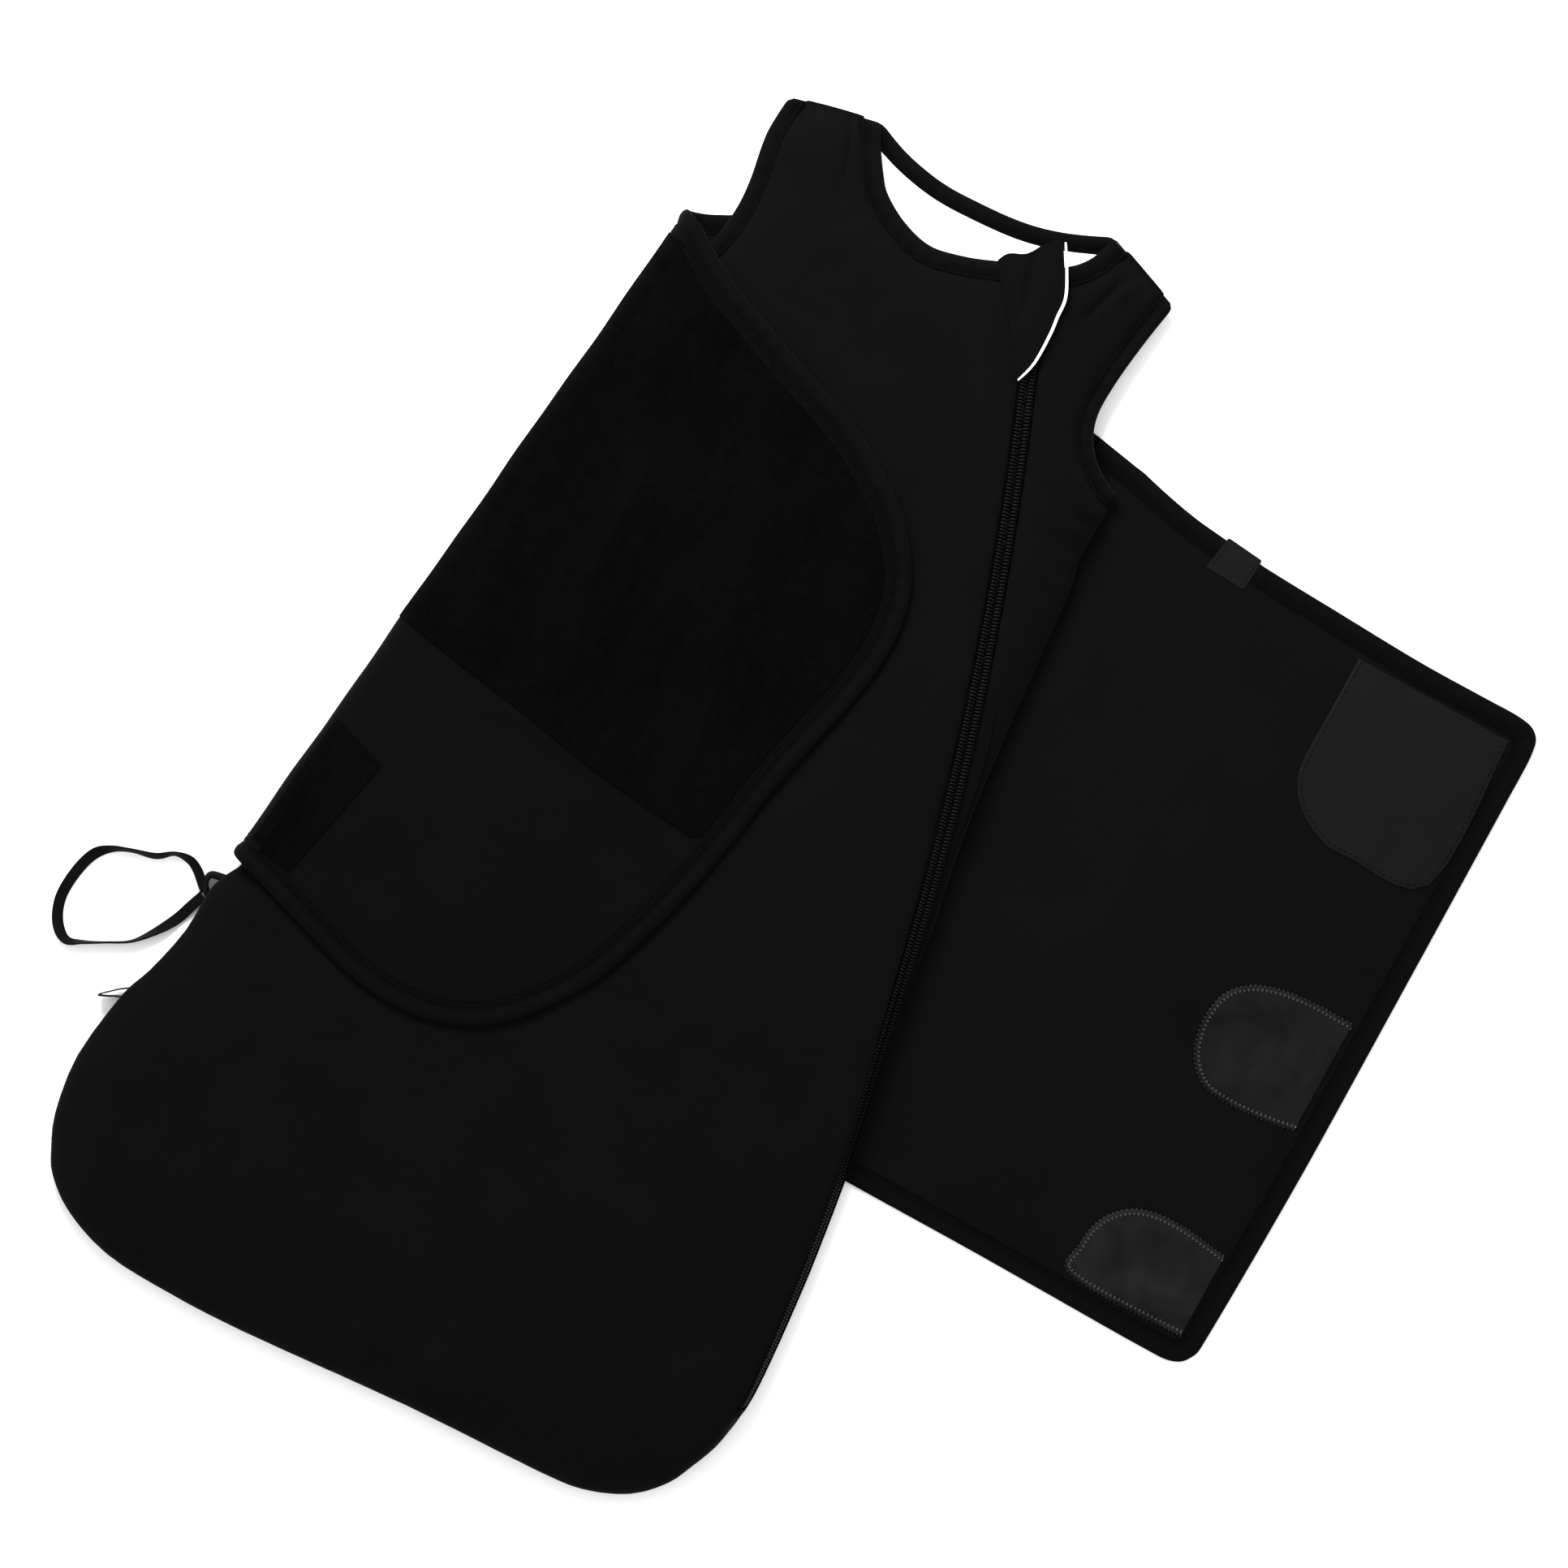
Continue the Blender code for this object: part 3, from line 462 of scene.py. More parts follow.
def fix_normals(obj):
    bm = bmesh.new()
    bm.from_mesh(obj.data)
    bmesh.ops.recalc_face_normals(bm, faces=bm.faces)
    bm.to_mesh(obj.data)
    bm.free()


def tube(name, pts3, radius, mats, sides=6, flat=1.0, closed=False):
    """A round thread along a line in space; flat scales it upwards."""
    p = np.asarray(pts3, float)
    n = len(p)
    tan = np.gradient(p, axis=0)
    tan /= np.maximum(np.linalg.norm(tan, axis=1), 1e-9)[:, None]
    side = np.cross(tan, [0, 0, 1.0])
    side /= np.maximum(np.linalg.norm(side, axis=1), 1e-9)[:, None]
    up = np.cross(side, tan)
    ang = np.arange(sides) * math.tau / sides
    verts = (p[:, None, :] + side[:, None, :] * (np.cos(ang) * radius)[None, :, None]
             + up[:, None, :] * (np.sin(ang) * radius * flat)[None, :, None]).reshape(-1, 3)
    s = np.concatenate([[0], np.cumsum(np.linalg.norm(np.diff(p, axis=0), axis=1))])
    uv = np.stack([np.repeat(s, sides), np.tile(ang * radius, n)], 1)
    faces = [(i * sides + k, i * sides + (k + 1) % sides, (i + 1) * sides + (k + 1) % sides, (i + 1) * sides + k)
             for i in range(n - 1) for k in range(sides)]
    faces += [tuple(range(sides))[::-1], tuple((n - 1) * sides + k for k in range(sides))]
    obj = build(name, verts, faces, uv, mats, 0)
    fix_normals(obj)
    return obj


def capsules(name, starts, ends, radius, mats, arch=0.0, sides=6):
    """Many short rounded bars in one piece: stitches and zip teeth."""
    a, b = np.asarray(starts, float), np.asarray(ends, float)
    n = len(a)
    axis = b - a
    size = np.linalg.norm(axis, axis=1, keepdims=True)
    axis = axis / np.maximum(size, 1e-9)
    side = np.cross(axis, [0, 0, 1.0])
    side /= np.maximum(np.linalg.norm(side, axis=1), 1e-9)[:, None]
    up = np.cross(side, axis)
    stations = [(0.0, 0.25, 0), (0.12, 0.85, 0.45), (0.5, 1.0, 1.0), (0.88, 0.85, 0.45), (1.0, 0.25, 0)]
    ang = np.arange(sides) * math.tau / sides
    rings = []
    for t, r, h in stations:
        centre = a + (b - a) * t + np.array([0, 0, 1.0]) * arch * h
        for q in ang:
            rings.append(centre + side * math.cos(q) * radius * r + up * math.sin(q) * radius * r)
    verts = np.stack(rings, 1).reshape(-1, 3)
    per = len(stations) * sides
    one = [(i * sides + k, (i + 1) * sides + k, (i + 1) * sides + (k + 1) % sides, i * sides + (k + 1) % sides)
           for i in range(len(stations) - 1) for k in range(sides)]
    caps = [tuple(range(sides)), tuple((len(stations) - 1) * sides + k for k in range(sides))[::-1]]
    faces = [tuple(v + j * per for v in f) for j in range(n) for f in one + caps]
    obj = build(name, verts, faces, verts[:, :2], mats, 0)
    fix_normals(obj)
    return obj


def stitches(name, path, zs, mats, long=2.5, gap=0.9, radius=0.24, arch=0.12, start=1.0):
    """A row of thread stitches along a line on the cloth."""
    total = length_of(path)
    p = np.asarray(path, float)
    seg = np.linalg.norm(np.diff(p, axis=0), axis=1)
    cum = np.concatenate([[0], np.cumsum(seg)])
    at = np.arange(start, total - long, long + gap)
    a = np.stack([np.interp(at, cum, p[:, k]) for k in (0, 1)], 1)
    b = np.stack([np.interp(at + long, cum, p[:, k]) for k in (0, 1)], 1)
    za = zs(a[:, 0], a[:, 1]) if callable(zs) else np.full(len(a), zs)
    zb = zs(b[:, 0], b[:, 1]) if callable(zs) else np.full(len(b), zs)
    return capsules(name, np.column_stack([a, za]), np.column_stack([b, zb]), radius, mats, arch)


# ------------------------------------------------------------------ materials
class Nodes:
    def __init__(self, name, rgb, rough, level, sheen=0.0, sheen_rough=0.5, metal=0.0, coat=0.0):
        self.mat = bpy.data.materials.new(name)
        self.mat.use_nodes = True
        self.tree = self.mat.node_tree
        self.bsdf = self.tree.nodes["Principled BSDF"]
        self.rgb = rgb
        b = self.bsdf.inputs
        b["Base Color"].default_value = (*rgb, 1)
        b["Roughness"].default_value = rough
        b["Specular IOR Level"].default_value = level
        b["Sheen Weight"].default_value = sheen
        b["Sheen Roughness"].default_value = sheen_rough
        b["Metallic"].default_value = metal
        b["Coat Weight"].default_value = coat
        uv = self.add("ShaderNodeUVMap")
        uv.uv_map = "cloth"
        scale = self.add("ShaderNodeVectorMath")
        scale.operation = "SCALE"
        self.join(uv.outputs[0], scale.inputs[0])
        scale.inputs["Scale"].default_value = 100.0
        self.mm = scale.outputs[0]
        split = self.add("ShaderNodeSeparateXYZ")
        self.join(self.mm, split.inputs[0])
        self.x, self.y = split.outputs[0], split.outputs[1]

    def add(self, kind):
        return self.tree.nodes.new(kind)

    def join(self, a, b):
        self.tree.links.new(a, b)

    def math(self, op, a, b=None, c=None, clamp=False):
        n = self.add("ShaderNodeMath")
        n.operation = op
        n.use_clamp = clamp
        for i, v in enumerate((a, b, c)):
            if v is None:
                continue
            if isinstance(v, (int, float)):
                n.inputs[i].default_value = v
            else:
                self.join(v, n.inputs[i])
        return n.outputs[0]

    def noise(self, size, detail=3.0, rough=0.5, stretch=None, warp=0.0):
        """Noise whose features are about size mm."""
        n = self.add("ShaderNodeTexNoise")
        vec = self.mm
        if stretch:
            m = self.add("ShaderNodeMapping")
            m.inputs["Scale"].default_value = (stretch[0], stretch[1], 1)
            m.inputs["Rotation"].default_value = (0, 0, stretch[2] if len(stretch) > 2 else 0)
            self.join(vec, m.inputs[0])
            vec = m.outputs[0]
        self.join(vec, n.inputs["Vector"])
        n.inputs["Scale"].default_value = 1.0 / size
        n.inputs["Detail"].default_value = detail
        n.inputs["Roughness"].default_value = rough
        n.inputs["Distortion"].default_value = warp
        return n.outputs[0]

    def knit(self, wale=1.05, course=0.82, turned=False):
        """Stocking-stitch loops: V-shaped strands in columns."""
        x, y = (self.y, self.x) if turned else (self.x, self.y)
        u = self.math("DIVIDE", x, wale)
        f = self.math("SUBTRACT", self.math("FRACT", u), 0.5)
        au = self.math("ABSOLUTE", f)
        v = self.math("ADD", self.math("DIVIDE", y, course), self.math("MULTIPLY", au, 1.3))
        s = self.math("SINE", self.math("MULTIPLY", v, math.tau))
        s = self.math("MULTIPLY_ADD", s, 0.35, 0.65)
        valley = self.math("SUBTRACT", 1.0, self.math("POWER", self.math("MULTIPLY", au, 2.0), 3.0))
        mid = self.math("MULTIPLY_ADD", self.math("MINIMUM", self.math("MULTIPLY", au, 8.0), 1.0), 0.3, 0.7)
        return self.math("MULTIPLY", self.math("MULTIPLY", s, valley), mid)

    def weave(self, size, turned=False):
        """A plain weave of crossing threads."""
        a = self.math("SINE", self.math("MULTIPLY", self.x, math.pi / size))
        b = self.math("SINE", self.math("MULTIPLY", self.y, math.pi / size))
        return self.math("MULTIPLY_ADD", self.math("MULTIPLY", a, b), 0.5, 0.5)

    def ribs(self, pitch, axis="x"):
        c = self.x if axis == "x" else self.y
        return self.math("MULTIPLY_ADD", self.math("SINE", self.math("MULTIPLY", c, math.tau / pitch)), 0.5, 0.5)

    def bump(self, heights):
        """A chain of bumps: (height output, strength, distance in mm)."""
        last = None
        for height, strength, mm in heights:
            n = self.add("ShaderNodeBump")
            n.inputs["Strength"].default_value = strength
            n.inputs["Distance"].default_value = mm / 1000
            self.join(height, n.inputs["Height"])
            if last is not None:
                self.join(last, n.inputs["Normal"])
            last = n.outputs[0]
        self.join(last, self.bsdf.inputs["Normal"])

    def shade(self, factor, low, high, rgb2=None):
        """Base colour varied by factor from low to high times the material's colour."""
        mix = self.add("ShaderNodeMix")
        mix.data_type = "RGBA"
        self.join(factor, mix.inputs[0])
        other = rgb2 or self.rgb
        mix.inputs[6].default_value = (*[c * low for c in self.rgb], 1)
        mix.inputs[7].default_value = (*[c * high for c in other], 1)
        self.join(mix.outputs[2], self.bsdf.inputs["Base Color"])
        return mix

    def vary_rough(self, factor, low, high):
        n = self.add("ShaderNodeMapRange")
        n.inputs["To Min"].default_value = low
        n.inputs["To Max"].default_value = high
        self.join(factor, n.inputs["Value"])
        self.join(n.outputs[0], self.bsdf.inputs["Roughness"])


def jersey(name, rgb, sheen, level, seed_size, turned=False, wale=1.05, course=0.82):
    m = Nodes(name, rgb, 0.8, level, sheen, 0.45)
    fine, broad, pill = m.noise(1.6, 4, 0.6), m.noise(seed_size, 2, 0.5), m.noise(7.0, 5, 0.65, warp=0.4)
    mixed = m.math("MULTIPLY_ADD", m.math("SUBTRACT", broad, 0.5), 0.8, m.math("MULTIPLY_ADD", m.math("SUBTRACT", pill, 0.5), 0.9,
                   m.math("MULTIPLY_ADD", m.math("SUBTRACT", fine, 0.5), 0.5, 0.5)), clamp=True)
    m.shade(mixed, 0.74, 1.26)
    m.bump([(m.knit(wale, course, turned), 0.38, 0.13), (pill, 0.55, 0.42), (fine, 0.3, 0.12)])
    m.vary_rough(pill, 0.7, 0.95)
    return m.mat


JERSEY = jersey("jersey_knit", (0.00174, 0.00174, 0.00174), 0.013, 0.0215, 46.0)
WING = jersey("wing_jersey_knit", (0.0016, 0.0016, 0.0016), 0.012, 0.020, 60.0)
WING_OPEN = jersey("open_wing_jersey_knit", (0.00185, 0.00185, 0.00185), 0.014, 0.024, 60.0)
def binding_cloth(name, roll, rgb=0.00135, bright=1.35, dark=0.72):
    """Binding cloth, paler where it is stretched over the roll than on the flange beside the stitching: partly the
    stretched cloth, partly a painted highlight on the roll and painted shade on the flange and underside.
    """
    m = Nodes(name, (rgb, rgb, rgb), 0.8, 0.020, 0.013, 0.45)
    fine, broad = m.noise(1.4, 4, 0.6), m.noise(16.0, 3, 0.55, (1.0, 0.5))
    # the roll's share of the width lifts the base colour there (painted highlight on the roll); the flange and
    # underside keep the darker colour (painted shade)
    edge = m.math("SUBTRACT", 1.0, m.math("DIVIDE", m.math("SUBTRACT", m.y, roll - 1.2), 2.4, clamp=True), clamp=True)
    mixed = m.math("MULTIPLY_ADD", edge, 0.62, m.math("MULTIPLY_ADD", m.math("SUBTRACT", broad, 0.5), 0.9,
                   m.math("MULTIPLY", m.math("SUBTRACT", fine, 0.5), 0.5)), clamp=True)
    m.shade(m.math("ADD", mixed, 0.18, clamp=True), dark, bright)
    m.bump([(m.knit(0.9, 0.75, True), 0.4, 0.12), (m.noise(2.6, 4, 0.65, (0.5, 1.4)), 0.6, 0.4), (fine, 0.3, 0.12)])
    m.vary_rough(broad, 0.7, 0.92)
    return m.mat


BINDING = binding_cloth("binding_knit", 6.4)
BINDING_WIDE = binding_cloth("binding_knit_wide", 7.2, 0.0013, 1.28, 0.7)
LINING = jersey("lining_knit", (0.86, 0.86, 0.86), 0.1, 0.2, 40.0)

_v = Nodes("loop_velour", (0.00088, 0.00088, 0.00088), 0.95, 0.007, 0.007, 0.6)
_f, _b, _m = _v.noise(0.9, 3, 0.7), _v.noise(38.0, 3, 0.55, (1.0, 0.45, 0.3)), _v.noise(5.0, 4, 0.7, warp=0.8)
_mix = _v.math("MULTIPLY_ADD", _v.math("SUBTRACT", _b, 0.5), 2.0, _v.math("MULTIPLY_ADD", _v.math("SUBTRACT", _m, 0.5), 1.5,
               _v.math("MULTIPLY_ADD", _v.math("SUBTRACT", _f, 0.5), 1.0, 0.5)), clamp=True)
_v.shade(_mix, 0.45, 1.55)
_v.bump([(_f, 0.8, 0.45), (_m, 0.6, 0.5)])
VELOUR = _v.mat

def hook_cloth(name, rgb, level, blot_gain, low, high, rough):
    m = Nodes(name, rgb, 0.5, level, 0.01, 0.4)
    cell = m.add("ShaderNodeTexVoronoi")
    m.join(m.mm, cell.inputs["Vector"])
    cell.inputs["Scale"].default_value = 1 / 1.15
    cell.inputs["Randomness"].default_value = 0.22
    dots = m.math("SUBTRACT", 1.0, cell.outputs[0], clamp=True)
    # blotches of lower roughness (real gloss) that also lift the base colour: the colour part is a painted highlight,
    # strong where blot_gain is large
    blot = m.noise(26, 2, 0.5, (1, 1), 0.5)
    m.shade(m.math("MULTIPLY_ADD", m.math("SUBTRACT", blot, 0.5), blot_gain, m.math("MULTIPLY_ADD", dots, 0.3, 0.36), clamp=True), low, high)
    m.bump([(dots, 0.6, 0.3), (m.noise(0.8, 2), 0.25, 0.1)])
    m.vary_rough(blot, rough[0], rough[1])
    return m.mat


HOOKS = hook_cloth("hook_tape_plain", (0.0035, 0.0035, 0.00355), 0.045, 0.5, 0.8, 1.2, (0.55, 0.45))
# middle and small patches: glossy blotches with painted highlights in their base colour
HOOKS_MIDDLE = hook_cloth("hook_tape_painted_glints", (0.0038, 0.0038, 0.0042), 0.046, 2.4, 0.35, 1.6, (0.6, 0.33))
HOOKS_GLOSSY = hook_cloth("hook_tape_glossy_painted_glints", (0.0042, 0.0042, 0.0046), 0.06, 2.6, 0.35, 1.9, (0.6, 0.3))

_w = Nodes("quilt_wadding", (0.8, 0.8, 0.78), 0.95, 0.1, 0.2, 0.6)
_w.bump([(_w.noise(1.2, 5, 0.75), 0.9, 0.6), (_w.noise(9, 3), 0.6, 1.0)])
_w.shade(_w.noise(5, 4), 0.9, 1.06)
WADDING = _w.mat

_t = Nodes("zip_tape_weave", (0.0014, 0.0014, 0.0014), 0.7, 0.02, 0.006)
_tw = _t.math("MULTIPLY_ADD", _t.math("SINE", _t.math("MULTIPLY", _t.math("ADD", _t.x, _t.y), math.tau / 0.7)), 0.5, 0.5)
_t.bump([(_tw, 0.6, 0.12), (_t.weave(0.35), 0.5, 0.1)])
_t.shade(_t.noise(6, 3), 0.75, 1.25)
TAPE = _t.mat

_c = Nodes("zip_coil_nylon", (0.0013, 0.0013, 0.0013), 0.40, 0.062)
_c.shade(_c.noise(2.0, 2), 0.8, 1.25)
_c.bump([(_c.noise(0.35, 2), 0.15, 0.05)])
# weaker reflection towards the bottom: painted shade on the low part, damping the glints where the rolled-over chain
# faces the key light
_glint_damp = _c.math("MULTIPLY_ADD", _c.y, 1 / 110.0, 1.55, clamp=True)
_c.join(_c.math("MULTIPLY_ADD", _glint_damp, 0.026, 0.036), _c.bsdf.inputs["Specular IOR Level"])
COIL = _c.mat

_z = Nodes("slider_enamel", (0.0022, 0.0022, 0.0022), 0.36, 0.06)
_z.shade(_z.noise(1.5, 4), 0.8, 1.3)
_z.bump([(_z.noise(0.5, 4, 0.6), 0.2, 0.06)])
_z.vary_rough(_z.noise(2.5, 4), 0.22, 0.42)
METAL = _z.mat

_p = Nodes("piping_cord", (0.86, 0.86, 0.86), 0.75, 0.25, 0.1)
_tw = _p.ribs(0.9, "x")
_p.bump([(_tw, 0.5, 0.14), (_p.noise(0.4, 3), 0.3, 0.05)])
_p.shade(_p.noise(3, 3), 0.94, 1.03)
PIPING = _p.mat

_l = Nodes("label_satin", (0.0036, 0.0036, 0.0036), 0.5, 0.045, 0.01)
_l.bump([(_l.weave(0.28), 0.6, 0.08), (_l.ribs(0.55, "y"), 0.4, 0.06)])
_l.shade(_l.noise(4, 3), 0.88, 1.12)
_l.vary_rough(_l.noise(1.0, 3), 0.42, 0.6)
LABEL = _l.mat

_k = Nodes("care_label_satin", (0.009, 0.009, 0.009), 0.6, 0.05, 0.01)
_k.bump([(_k.weave(0.3), 0.5, 0.07)])
_k.shade(_k.noise(3, 3), 0.85, 1.1)
CARE = _k.mat

_e = Nodes("elastic_rib", (0.0018, 0.0018, 0.0019), 0.6, 0.026, 0.006)
_e.bump([(_e.ribs(0.8, "x"), 0.3, 0.08), (_e.ribs(0.7, "y"), 0.35, 0.08), (_e.noise(9, 2), 0.5, 0.5)])
_e.shade(_e.math("MULTIPLY_ADD", _e.math("SUBTRACT", _e.noise(14, 2), 0.5), 2.0, 0.5, clamp=True), 0.7, 1.35)
ELASTIC_MAT = _e.mat

_s = Nodes("thread_black", (0.0011, 0.0011, 0.0011), 0.55, 0.018, 0.006)
_s.bump([(_s.ribs(0.45, "x"), 0.6, 0.06)])
_s.shade(_s.noise(1.2, 2), 0.8, 1.25)
THREAD = _s.mat

_g = Nodes("thread_grey", (0.085, 0.087, 0.09), 0.4, 0.4, 0.03)
_g.bump([(_g.ribs(0.45, "x"), 0.6, 0.06)])
_g.shade(_g.noise(1.5, 2), 0.6, 1.3)
THREAD_GREY = _g.mat

# ------------------------------------------------------------- body of the bag
SIDE_R_LOW = zip_line(LOW_EDGE, -34, -318, 16)
SIDE_R_ALL = np.vstack([smooth(SIDE_R), SIDE_R_LOW])
HEM_ALL = np.vstack([SIDE_R_LOW[-1:], smooth(HEM)])
SIDE_L_ALL = smooth(SIDE_L, 2)
SEAM = [smooth(SHOULDER_L, 2), smooth(SHOULDER_R, 2), SIDE_R_ALL, np.vstack([HEM_ALL, SIDE_L_ALL])]
NECK_ALL = [smooth(FRONT_NECK_L), smooth(FRONT_NECK_R)]
ARM_ALL = [smooth(ARMHOLE_L), smooth(ARMHOLE_R)]


def seam_dist(x, y):
    d = np.full(np.shape(x), 1e9)
    for line in SEAM:
        d = np.minimum(d, line_dist(x, y, line)[0])
    return d


def edge_dist(x, y, lines):
    d = np.full(np.shape(x), 1e9)
    for line in lines:
        d = np.minimum(d, line_dist(x, y, line)[0])
    return d


def zip_off(x, y):
    """How far a point lies from the zip's centre line, to the right."""
    return np.hypot(x - ZIP_C[0], y - ZIP_C[1]) - ZIP_R


def dome(d, r):
    t = 1 - np.clip(d, 0, r) / r
    return np.sqrt(np.clip(1 - t * t, 0, 1))


def front_z(x, y, fine=True):
    """Height of the bag's outer front face."""
    d = seam_dist(x, y)
    r = zip_off(x, y)
    near_zip = np.exp(-(np.maximum(np.abs(r) - 6, 0) / 16) ** 2)
    # the zip runs down onto the side seam, so there the cloth rises faster
    radius = 27 - 17 * near_zip * ease((-y) / 60)
    z = SEAM_Z + 0.9 + (FULL_Z - SEAM_Z - 0.9) * dome(d, radius)
    c, h, tilt = chain(y)
    beside = np.clip((zip_off(x, y) - c) / np.maximum(h, 0.5), 0, 1) * ease((-y - 20) / 60)
    z = z - 0.62 * (z - SEAM_Z) * beside
    # left of the low chain the cloth stays full up to the chain
    left_of = ease((-y - 20) / 60) * ease((y + 320) / 18) * np.exp(-(np.maximum(-(zip_off(x, y) - c) - h, 0) / 9) ** 2) * (zip_off(x, y) < c)
    z = np.maximum(z, left_of * (FULL_Z - 1.6))
    droop = np.exp(-(edge_dist(x, y, NECK_ALL) / 13) ** 2) * 3.4 + np.exp(-(edge_dist(x, y, ARM_ALL) / 12) ** 2) * 3.8
    strap = ease((y - 205) / 50) * 2.6
    free = np.clip((np.abs(r) - 8) / 26, 0, 1)
    rim = SEAM_Z + 0.9
    z = np.maximum(z - (droop + strap) * free, rim + 0.3 * (z - rim))
    body = ease((d - 6) / 30) * free
    z = z + 0.75 * np.exp(-((np.abs(r) - 17) / 9) ** 2) * ease((d - 8) / 12)
    if fine:
        z = z + body * (0.8 * waves(x, y, 11, 120) + 0.42 * waves(x, y, 12, 46))
        soft = ease((d - 1) / 8)
        for path, high, wide in FRONT_CREASES:
            z = z + soft * ridge(x, y, path, high * 1.75, wide)
        # puckers where the quilted layers are eased into the side seams
        for line, low_u, high_u, size, high in PUCKERS:
            dd, s = line_dist(x, y, line)
            on = ease((s - low_u) / 14) * ease((high_u - s) / 14)
            wob = np.sin(s / size * math.tau + 1.7 * np.sin(s / 31)) * (0.6 + 0.4 * np.sin(s / 17 + 1))
            z = z + high * on * wob * np.exp(-((dd - 5) / 6.5) ** 2) * free
        z = z + 0.15 * waves(x, y, 13, 17) * body
    return z


FRONT_CREASES = [
    ([(-79, 283), (-73, 272), (-66, 254), (-60, 236)], -1.2, 1.9),
    ([(-76, 283), (-70, 271), (-64, 258)], 0.9, 1.7),
    ([(-71, 283), (-66, 271), (-60, 258)], -1.0, 1.7),
    ([(84, 284), (79, 270), (74, 252), (70, 236)], -1.4, 2.4),
    ([(88, 282), (84, 268), (79, 252)], 0.9, 2.6),
    ([(96, 196), (112, 172), (119, 150)], 0.7, 5.0),
    ([(86, 168), (104, 162), (124, 157)], -0.8, 2.8),
    ([(98, 146), (114, 143), (128, 139)], -0.7, 2.6),
    ([(104, 124), (118, 120), (132, 117)], -0.7, 2.8),
    ([(101, 96), (120, 90), (134, 84)], 0.6, 4.0),
    ([(108, 60), (124, 52), (136, 46)], -0.5, 4.0),
    ([(140, -64), (152, -92), (150, -132)], 0.6, 6.0),
    ([(96, -20), (110, -70), (118, -130)], -0.45, 9.0),
    ([(60, -180), (90, -220), (102, -268)], 0.5, 10.0),
    ([(12, -366), (55, -371), (108, -372)], -0.9, 3.4),
    ([(-62, -372), (2, -362), (84, -352)], 0.7, 5.5),
    ([(-92, -352), (-40, -342), (40, -338)], -0.6, 6.5),
    ([(-150, -262), (-132, -300), (-134, -346)], 0.6, 8.0),
    ([(-158, -232), (-120, -246), (-70, -250)], -0.45, 7.0),
    ([(-40, 236), (-58, 214), (-66, 188)], 0.5, 6.0),
    ([(10, 236), (8, 206), (20, 176)], -0.4, 8.0),
    ([(30, 214), (52, 180), (62, 140)], 0.45, 6.0),
]
PUCKERS = [
    (SIDE_R_ALL, 4, 150, 13.0, 1.0),
    (np.vstack([HEM_ALL, SIDE_L_ALL]), 20, 330, 21.0, 0.35),
    (np.vstack([HEM_ALL, SIDE_L_ALL]), 400, 560, 24.0, 0.3),
    (SEAM[0], 2, 46, 9.0, 0.35),
    (SEAM[1], 2, 44, 9.0, 0.35),
]


def back_z(x, y):
    """Height of the bag's outer back face, which rests on the floor or on the band."""
    d = seam_dist(x, y)
    rest = 0.15 + 1.85 * ease((y + 214) / 26)
    z = SEAM_Z - 0.9 - (SEAM_Z - 0.9 - rest) * dome(d, 34)
    return z + 0.12 * (1 + waves(x, y, 21, 60)) * ease(d / 20)


def hidden_z(x, y):
    """The face that the padding and lining of the front follow, below the outer cloth's creases."""
    return front_z(x, y, False) - 1.9 * squeeze(x, y)


def squeeze(x, y):
    """How much of their full depth the layers keep near the side seams."""
    return 0.34 + 0.66 * np.clip(seam_dist(x, y) / 15, 0, 1)


def layer(base, depth, sign=-1):
    return lambda x, y: base(x, y) + sign * depth * squeeze(x, y)


def ring(*runs):
    pts = []
    for r in runs:
        for p in np.asarray(r, float):
            if not pts or math.hypot(p[0] - pts[-1][0], p[1] - pts[-1][1]) > 0.05:
                pts.append((float(p[0]), float(p[1])))
    if math.hypot(pts[0][0] - pts[-1][0], pts[0][1] - pts[-1][1]) < 0.05:
        pts.pop()
    return np.array(pts)


def lengthened(path, head, tail):
    """A line carried on straight at both ends."""
    p = np.asarray(path, float)
    a, b = p[0] - p[1], p[-1] - p[-2]
    return np.vstack([p[0] + a / np.linalg.norm(a) * head, p, p[-1] + b / np.linalg.norm(b) * tail])


def band_of(path, near, far, head=14, tail=14):
    """The outline of the strip between two distances to the right of a line."""
    p = resample(lengthened(path, head, tail), 3.0)
    return np.vstack([offset(p, near), offset(p, far)[::-1]])


def carved(poly, strips, least=0.4):
    """An outline with strips cut off it."""
    pts, faces = [], []
    for r in [poly] + list(strips):
        faces.append(list(range(len(pts), len(pts) + len(r))))
        pts += [Vector((float(v[0]), float(v[1]))) for v in r]
    res = geometry.delaunay_2d_cdt(pts, [], faces, 0, 1e-4)
    xy = np.array([tuple(v) for v in res[0]])
    tri = np.array([f for f in res[2] if len(f) == 3], int)
    mid = xy[tri].mean(1)
    keep_it = inside(mid[:, 0], mid[:, 1], poly)
    for r in strips:
        keep_it &= ~inside(mid[:, 0], mid[:, 1], r)
    tri = tri[keep_it]
    a, b, c = xy[tri[:, 0]], xy[tri[:, 1]], xy[tri[:, 2]]
    turn = (b[:, 0] - a[:, 0]) * (c[:, 1] - a[:, 1]) - (b[:, 1] - a[:, 1]) * (c[:, 0] - a[:, 0])
    tri[turn < 0] = tri[turn < 0][:, ::-1]
    rim = boundary_edges(tri)
    after = {}
    for u, v in rim:
        after.setdefault(int(u), []).append(int(v))
    best = []
    while after:
        start = next(iter(after))
        loop, at_v = [start], start
        while True:
            nxt = after[at_v].pop()
            if not after[at_v]:
                del after[at_v]
            if nxt == start:
                break
            loop.append(nxt)
            at_v = nxt
        if len(loop) > 2 and (not best or area_of(xy[loop]) > area_of(xy[best])):
            best = loop
    out = xy[best]
    gap = np.linalg.norm(out - np.roll(out, 1, 0), axis=1)
    return out[gap > least]


